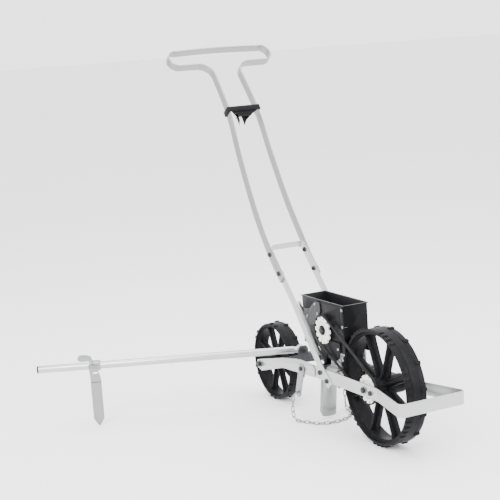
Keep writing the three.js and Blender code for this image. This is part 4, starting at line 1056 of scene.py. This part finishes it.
def make_forks():
    for name, sign in SIDES:
        refine(f"rear_fork_{name}", "frame", "aluminium_rail")
        hanger = plate_xz(
            rounded_link(HANGER_TOP, HANGER_FOOT, 14), sign * 63.6, sign * 66.1, edge_mm())
        finish_piece(
            f"chain_hanger_{name}_fine", [hanger], "frame", "aluminium_upright",
            [f"chain_hanger_{name}"])
        pin = lathe(rounded([
            (0, sign * 60.6), (4.5, sign * 60.6), (4.5, sign * 63.3), (2.5, sign * 63.3),
            (2.5, sign * 69.1), (4.5, sign * 69.1), (4.5, sign * 71.1), (0, sign * 71.1)],
            0.5, 2), 32, HANGER_FOOT)
        finish_piece(
            f"chain_pin_{name}_fine", [pin], "frame", "zinc_steel",
            [f"chain_pin_{name}"])


# ------------------------------------------------------------------ handles
def smooth(t):
    t = min(max(t, 0.0), 1.0)
    return t * t * (3 - 2 * t)


def leg_point(share, sign):
    point = LEG_FOOT.lerp(LEG_TOP, share)
    inward = (LEG["top_half"] - LEG["foot_half"]) * smooth((share - 0.17) / 0.49)
    point.y = sign * (LEG["foot_half"] + inward)
    return point


def make_lower_handle():
    up = (LEG_TOP - LEG_FOOT).normalized()
    across = Vector((up.z, 0, -up.x))
    length, bend = (LEG_TOP - LEG_FOOT).length, 12
    shares = [0, 0.1] + [0.17 + 0.49 * k / 14 for k in range(15)] + [0.75, 0.85, 1 - bend / length]
    half = [leg_point(share, -1) for share in shares]
    corner = leg_point(1, -1)
    for k in range(1, 12):
        angle = math.radians(90 * k / 12)
        inward = Vector((0, bend - bend * math.cos(angle), 0))
        half.append(corner + up * (bend * math.sin(angle) - bend) + inward)
    half.append(corner + Vector((0, bend, 0)))
    line = half + [Vector((p.x, -p.y, p.z)) for p in reversed(half)]
    legs = strip([(point, across) for point in line], LEG["width"], LEG["strip"], edge_mm())
    finish_piece(
        "lower_handle_strip", [legs], "frame", "aluminium_leg", ["lower_handle"])
    for name, sign in SIDES:
        refine(f"leg_angle_{name}", "frame", "aluminium_leg", 0.4)
        rivets = []
        for share in (0.26, 0.51):
            point = leg_point(share, sign)
            dome = flipped(lathe([
                (0, 0), (3.6, 0), (3.5, 0.6), (2.9, 1.2), (1.9, 1.7), (0.9, 1.95), (0, 2.0)], 24),
                sign < 0)
            rivets.append(moved(dome, Matrix.Translation((point.x, point.y + sign * 1.5, point.z))))
        finish_piece(f"leg_rivets_{name}", rivets, "frame", "aluminium_leg")


def profile_point(share):
    """A point on the smooth side profile of the upper handle."""
    points = HANDLE_PROFILE
    last = len(points) - 1
    run = min(max(share, 0.0), 1.0) * last
    k = min(int(run), last - 1)
    t = run - k
    p0, p1, p2, p3 = (Vector((points[i][0], 0, points[i][1])) for i in (
        max(k - 1, 0), k, k + 1, min(k + 2, last)))
    v0, v1 = (p2 - p0) * 0.5, (p3 - p1) * 0.5
    square, cube = p2 * 3 - p1 * 3 - v0 * 2 - v1, p1 * 2 - p2 * 2 + v0 + v1
    return p1 + v0 * t + square * t ** 2 + cube * t ** 3


def profile_way(low, high):
    return (profile_point(high) - profile_point(low)).normalized()


def make_upper_handle():
    neck, start = 0.93, 1.45 / (len(HANDLE_PROFILE) - 1)
    stations = []
    for k in range(45):
        share = neck * k / 44
        point = profile_point(share)
        way = profile_way(max(share - 1e-3, 0), min(share + 1e-3, 1))
        ease = min(max((share - start) / (1 - start), 0), 1)
        point.y = -(GRIP["foot_half"] + (GRIP["top_half"] - GRIP["foot_half"]) * ease)
        stations.append((point, Vector((way.z, 0, -way.x)), way))
    base, across, up = stations[-1]
    reach = (profile_point(1) - profile_point(neck)).length
    end, wide = GRIP["depth"] / 2, GRIP["half_width"]
    outer = [Vector((p.x, p.y)) for p in smooth_bends(
        [(-base.y, 0, 0), (-base.y, reach, 0), (wide - end, reach, 0)], [GRIP["neck"]], 12)[1:]]
    for k in range(1, 20):
        angle = -math.pi / 2 + math.pi * k / 20
        outer.append(Vector((
            wide - end + end * math.cos(angle), reach + end + end * math.sin(angle))))
    for k in range(9):
        share = 1 - k / 8
        bow = GRIP["bow"] * (1 - share * share) - GRIP["bow"] * 0.5
        outer.append(Vector(((wide - end) * share, reach + GRIP["depth"] + bow)))
    half = [(point, across_here) for point, across_here, _ in stations]
    half += [(Vector((base.x, -o.x, base.z)) + up * o.y, across) for o in outer]
    mirrored = [(Vector((p.x, -p.y, p.z)), a) for p, a in reversed(half[:-1])]
    bar = strip(half + mirrored, LEG["width"], HANDLE_STRIP, edge_mm() * 1.4)
    finish_piece(
        "upper_handle_strip", [bar], "frame", "aluminium_handle", ["upper_handle"])


def make_handle_clip():
    """The clip that holds the stowed marker arm, with a web across its front and two skirts."""
    share = 4 / (len(HANDLE_PROFILE) - 1)
    way = profile_way(share - 1e-3, share + 1e-3)
    rear = Vector((-way.z, 0, way.x))
    place = Matrix((rear, way.cross(rear), way)).transposed().to_4x4()
    place.translation = profile_point(share)
    skirts = []
    for sign in (-1, 1):
        rings = []
        for x, y, drop in (
                (-13, 42, 9.5), (0, 28, 15), (14, 12, 25), (24, 11.4, 29), (29, 9.8, 33)):
            rings.append([Vector(p) for p in (
                (x, sign * y, -6), (x, sign * (y - 2.8), -6), (x, sign * (y - 2.3), -drop),
                (x, sign * (y - 0.5), -drop))])
        skirts.append(moved(soften(skin(rings), 0.5), place))
        corner = [(x, sign * y, -8) for x, y in ((-13, 31), (-13, 41.5), (12, 13.5), (12, 11))]
        skirts.append(moved(extruded(corner, (0, 0, 2), 0.3), place))
    web_line = ((-41, -7), (41, -7), (36, -11), (11, -25), (-11, -25), (-36, -11))
    web = extruded([(-12, y, z) for y, z in web_line], (2.5, 0, 0), 0.6)
    finish_piece(
        "handle_clip_fine", [from_node("handle_clip", 0.8), *skirts, moved(web, place)], "frame",
        "small_plastic", ["handle_clip"])


# ------------------------------------------------------------------ hopper
def make_hopper():
    refine("hopper_body", "frame", "coated_sheet", 0.8)
    seam = plate_xz(
        rounded([(-133, 268), (-119, 268), (-119, 344.5), (-133, 344.5)], 2, 3), -37.28, -37.0, 0.1)
    # Painted shade: a black sheet on the near side over the lower aluminium hopper bracket, so that
    # the bracket shows dark as if in shade.
    painted_shade_sheet = plate_xz(
        rounded([(-200, 196), (-168, 190), (-140, 205), (-136, 246), (-200, 246)], 3, 3),
        -41.1, -40.35, 0.1)
    latch = moved(rod(0.7, -36, -26, 0.25, 16), Matrix.Translation((-117.2, 0, 291)))
    finish_piece("hopper_seam_and_shade_sheet", [seam, painted_shade_sheet], "frame", "coated_sheet")
    finish_piece("hopper_latch", [latch], "frame", "zinc_steel")
    refine("hopper_cover", "frame", "dark_bracket")
    refine("seed_chute", "frame", "coated_sheet")
    for name, _ in SIDES:
        refine(f"hopper_bracket_{name}", "frame", "aluminium_upright")


# ------------------------------------------------------------------ opener
def make_opener():
    refine("opener", "opener", "aluminium_upright", least=40, sharp=40)
    for node in ("opener_bridge", "marker_bracket"):
        refine(node, "frame", "dark_bracket")


# ------------------------------------------------------------------ row marker
def marker_frame():
    turn = Matrix.Rotation(math.radians(ARM["turn"]), 4, "Z")
    return Matrix.Translation((ARM["x"], 0, ARM["z"])) @ turn


def along_arm(bm):
    """Turns a shape drawn along Y so that it lies along the marker arm."""
    return moved(bm, marker_frame() @ Matrix.Rotation(math.radians(-90), 4, "Z"))


def make_marker_arm():
    radius, bore = ARM["radius"], ARM["radius"] - ARM["wall"]
    start, end = ARM["start"], ARM["end"]
    tube = along_arm(lathe(rounded(
        [(bore, start), (radius, start), (radius, end), (bore, end)], 0.5, 2), 56))
    finish_piece(
        "marker_arm_tube", [tube], "marker_arm", "aluminium_arm", ["marker_arm"])
    plug = along_arm(lathe([
        (0, end - 12), (bore - GAP, end - 12), (bore - GAP, end + GAP), (radius, end + GAP),
        (radius, end + 3.2), (radius - 0.8, end + 4), (radius - 2.4, end + 4),
        (radius - 3.2, end + 2.2), (0, end + 2.2)], 48))
    finish_piece(
        "marker_end_plug_fine", [plug], "marker_arm", "small_plastic",
        ["marker_end_plug"])
    boss = lathe(rounded([(4.3, -10), (13, -10), (13, 10), (4.3, 10)], 1.2, 3), 56)
    boss = moved(boss, place_along("X", (ARM["x"] + 2, 0, ARM["z"])))
    stub = along_arm(lathe([(0, 9), (8.7, 9), (8.7, 59), (7.7, 60), (0, 60)], 40))
    finish_piece(
        "marker_knuckle_fine", [boss, stub], "marker_arm", "aluminium_arm",
        ["marker_knuckle"])


def blade_sleeve(at, half, inner):
    """A squared sleeve around the arm, with a round bore."""
    outer = inner + MARKER["sleeve"]
    square = rounded([(-outer, -outer), (outer, -outer), (outer, outer), (-outer, outer)], 6, 8)
    eased = [(x * 0.97, z * 0.97) for x, z in square]
    around = [tuple(Vector(p).normalized() * inner) for p in square]
    return along_arm(skin([[Vector((x, y, z)) for x, z in line] for line, y in (
        (square, at - half + 0.4), (eased, at - half), (around, at - half), (around, at + half),
        (eased, at + half), (square, at + half - 0.4))], closed=True))


def blade_plate(at, half, inner, thick):
    """The hanging plate: two pressed ribs, a crease, a slot near the top and a pointed foot."""
    foot, crease = -ARM["z"] + 0.5, -45
    # Each row has its height, its share of the width, its shift to one side and its step outward.
    rows = [
        (4, 0.94, 5, 0.0), (-4, 0.84, 5, 0.0), (-14, 0.84, 4, 0.0), (-26, 0.92, 1.5, 0.0),
        (-36, 1, 0, 0.0), (crease + 1.1, 1, 0, 0.0), (crease + 0.6, 1, 0, -1.9),
        (crease - 0.9, 1, 0, -1.9), (crease - 1.4, 1, 0, 1.1), (crease - 6, 1, 0, 0.7),
        (-80, 1, 0, 0.0), (-110, 1, 0, 0.0), (-135, 1, 0, 0.0), (foot + 24, 1, 0, 0.0),
        (foot + 20, 1, 0, 0.0)]
    # Each column has its share of the half width and how far a rib lifts it.
    columns = [
        (-1, 0.0), (-0.60, 0.0), (-0.52, 1.0), (-0.42, 0.0), (0, 0.2), (0.42, 0.0), (0.52, 1.0),
        (0.60, 0.0), (1, 0.0)]

    def face(share, row, rise, depth):
        z, wide, shift, step = row
        ridge = rise * (1.0 if crease - 2 > z > foot + 26 else 0.0)
        return Vector((at + shift + half * wide * share, inner + depth + step + ridge, z))

    rings = []
    for row in rows:
        front = [face(share, row, rise, thick) for share, rise in columns]
        back = [face(share, row, rise, 0.0) for share, rise in reversed(columns)]
        rings.append(front + back)
    tip = (foot + 0.2, 1, 0, 0.0)
    last = [face(share * 0.10, tip, 0, thick - 0.3) for share, _ in columns]
    last += [face(share * 0.10, tip, 0, 0.3) for share, _ in reversed(columns)]
    rings.append(last)
    slot = rounded([(-7, -21.6), (7, -21.6), (7, -16.4), (-7, -16.4)], 2.5, 4)
    cutter = plate_xz([(at + x, z) for x, z in slot], inner - 5, inner + 8)
    return soften(subtract(skin(rings), cutter), 0.3, 2, 55)


def make_marker_blade():
    at, half, inner, thick = MARKER["at"], MARKER["width"] / 2, MARKER["inner"], MARKER["strip"]
    place = marker_frame()
    sleeve = blade_sleeve(at, half, inner)
    blade = moved(blade_plate(at, half, inner, thick), place)
    ear = rounded([
        (at + 3, 3), (at + 9, 3), (at + 11, 15), (at + 17, 16.5), (at + 40, 15.5), (at + 48, 24),
        (at + 41, 35.5), (at + 20, 34.5), (at + 8, 29), (at + 3, 14)], 5, 5)
    tab = moved(plate_xz(ear, inner, inner + thick, edge_mm()), place)
    finish_piece(
        "marker_blade_fine", [sleeve, blade, tab], "marker_blade",
        "aluminium_upright", ["marker_blade"])
    stem = lathe([
        (0, inner), (2.5, inner), (2.5, inner + 3.2), (5, inner + 3.2), (5, inner + 8.4),
        (4.4, inner + 9), (0, inner + 9)], 32)
    moved(stem, place @ Matrix.Translation((at + 4, 0, 0)))
    wing = rounded([
        (at - 8, -2.4), (at, -3.2), (at + 4, -4), (at + 8, -3.2), (at + 16, -2.4), (at + 16, 2.8),
        (at + 8, 3.4), (at + 4, 4), (at, 3.4), (at - 8, 2.8)], 1.6, 3)
    wing = moved(plate_xz(wing, inner + 5, inner + 7.5, 0.7), place)
    finish_piece(
        "marker_clamp_screw_fine", [stem, wing], "marker_blade", "zinc_steel",
        ["marker_clamp_screw"])


# ------------------------------------------------------------------ fasteners
def make_fasteners():
    hex_bolt("front_axle", "Y", 6, 6, -1, turn=10, head=0.72)
    hex_bolt("rear_axle", "Y", 6, 6, -1, turn=22, head=0.72)
    turn = 5.0
    for name, sign in SIDES:
        for node in (
                f"axle_adjuster_{name}", f"fork_bolt_{name}", f"leg_bolt_{name}_1",
                f"leg_bolt_{name}_2", f"handle_bolt_{name}_1", f"handle_bolt_{name}_2"):
            hex_bolt(node, "Y", 4, 5, sign, turn=turn)
            turn += 23.0
        pan_screw(f"bracket_screw_{name}", sign, turn)
    hex_bolt("opener_screw", "X", 4, 4.7, 1, turn=12, washers=False)
    hex_bolt("marker_pivot_bolt", "X", 4, 4.4, 1, turn=8, washers=False)
    for kind, slot_turns in (("cover", (20, 75, 130)), ("wall", (60, 5))):
        for k, slot_turn in enumerate(slot_turns):
            pan_screw(f"{kind}_screw_{k + 1}", -1, slot_turn)


# ------------------------------------------------------------------ operators
def build(*makers):
    """Runs an operator's makers in order."""
    if not MATERIALS:
        make_materials()
    for maker in makers:
        maker()
    return {"FINISHED"}


class SEEDER_OT_stage(bpy.types.Operator):
    """Sets up the camera, the lights and the floor"""

    bl_idname = "seeder.stage"
    bl_label = "Stage"

    def execute(self, context):
        return build(make_camera, make_stage)


class SEEDER_OT_drag_chain(bpy.types.Operator):
    """Lays the drag chain between its two hangers"""

    bl_idname = "seeder.drag_chain"
    bl_label = "Drag chain"

    def execute(self, context):
        return build(make_drag_chain)


class SEEDER_OT_wheels(bpy.types.Operator):
    """Builds the front and rear wheels"""

    bl_idname = "seeder.wheels"
    bl_label = "Wheels"

    def execute(self, context):
        return build(make_wheels)


class SEEDER_OT_belt_drive(bpy.types.Operator):
    """Builds the sprockets, the belt and the seed shaft"""

    bl_idname = "seeder.belt_drive"
    bl_label = "Belt drive"

    def execute(self, context):
        return build(make_sprockets, make_belt, make_seed_shaft)


class SEEDER_OT_frame(bpy.types.Operator):
    """Builds the bent strip frame, the forks and the chain hangers"""

    bl_idname = "seeder.frame"
    bl_label = "Frame"

    def execute(self, context):
        return build(make_front_frame, make_forks)


class SEEDER_OT_handles(bpy.types.Operator):
    """Builds both handles and the clip"""

    bl_idname = "seeder.handles"
    bl_label = "Handles"

    def execute(self, context):
        return build(make_lower_handle, make_upper_handle, make_handle_clip)


class SEEDER_OT_hopper(bpy.types.Operator):
    """Builds the hopper, its cover, its brackets and the chute"""

    bl_idname = "seeder.hopper"
    bl_label = "Hopper"

    def execute(self, context):
        return build(make_hopper)


class SEEDER_OT_opener(bpy.types.Operator):
    """Builds the opener, its bridge and the marker bracket"""

    bl_idname = "seeder.opener"
    bl_label = "Opener"

    def execute(self, context):
        return build(make_opener)


class SEEDER_OT_marker(bpy.types.Operator):
    """Builds the row marker's arm and blade"""

    bl_idname = "seeder.marker"
    bl_label = "Row marker"

    def execute(self, context):
        return build(make_marker_arm, make_marker_blade)


class SEEDER_OT_fasteners(bpy.types.Operator):
    """Builds the bolts, nuts and screws"""

    bl_idname = "seeder.fasteners"
    bl_label = "Fasteners"

    def execute(self, context):
        return build(make_fasteners)


OPERATORS = (
    SEEDER_OT_stage, SEEDER_OT_drag_chain, SEEDER_OT_wheels, SEEDER_OT_belt_drive, SEEDER_OT_frame,
    SEEDER_OT_handles, SEEDER_OT_hopper, SEEDER_OT_opener, SEEDER_OT_marker, SEEDER_OT_fasteners,
)


class SEEDER_PT_panel(bpy.types.Panel):
    """Lists the pieces and their settings"""

    bl_label = "Push seeder"
    bl_idname = "SEEDER_PT_panel"
    bl_space_type = "VIEW_3D"
    bl_region_type = "UI"
    bl_category = "Seeder"

    def draw(self, context):
        for group in (context.scene.seeder_sizes, context.scene.seeder_finishes):
            for name in group.__annotations__:
                self.layout.prop(group, name)
        for operator in OPERATORS:
            self.layout.operator(operator.bl_idname)


CLASSES = (SeederSizes, SeederFinishes, *OPERATORS, SEEDER_PT_panel)


def register():
    for one in CLASSES:
        bpy.utils.register_class(one)
    bpy.types.Scene.seeder_sizes = PointerProperty(type=SeederSizes)
    bpy.types.Scene.seeder_finishes = PointerProperty(type=SeederFinishes)


def unregister():
    del bpy.types.Scene.seeder_finishes
    del bpy.types.Scene.seeder_sizes
    for one in reversed(CLASSES):
        bpy.utils.unregister_class(one)


def main():
    register()
    for operator in OPERATORS:
        group, name = operator.bl_idname.split(".")
        getattr(getattr(bpy.ops, group), name)()


if __name__ == "__main__":
    main()
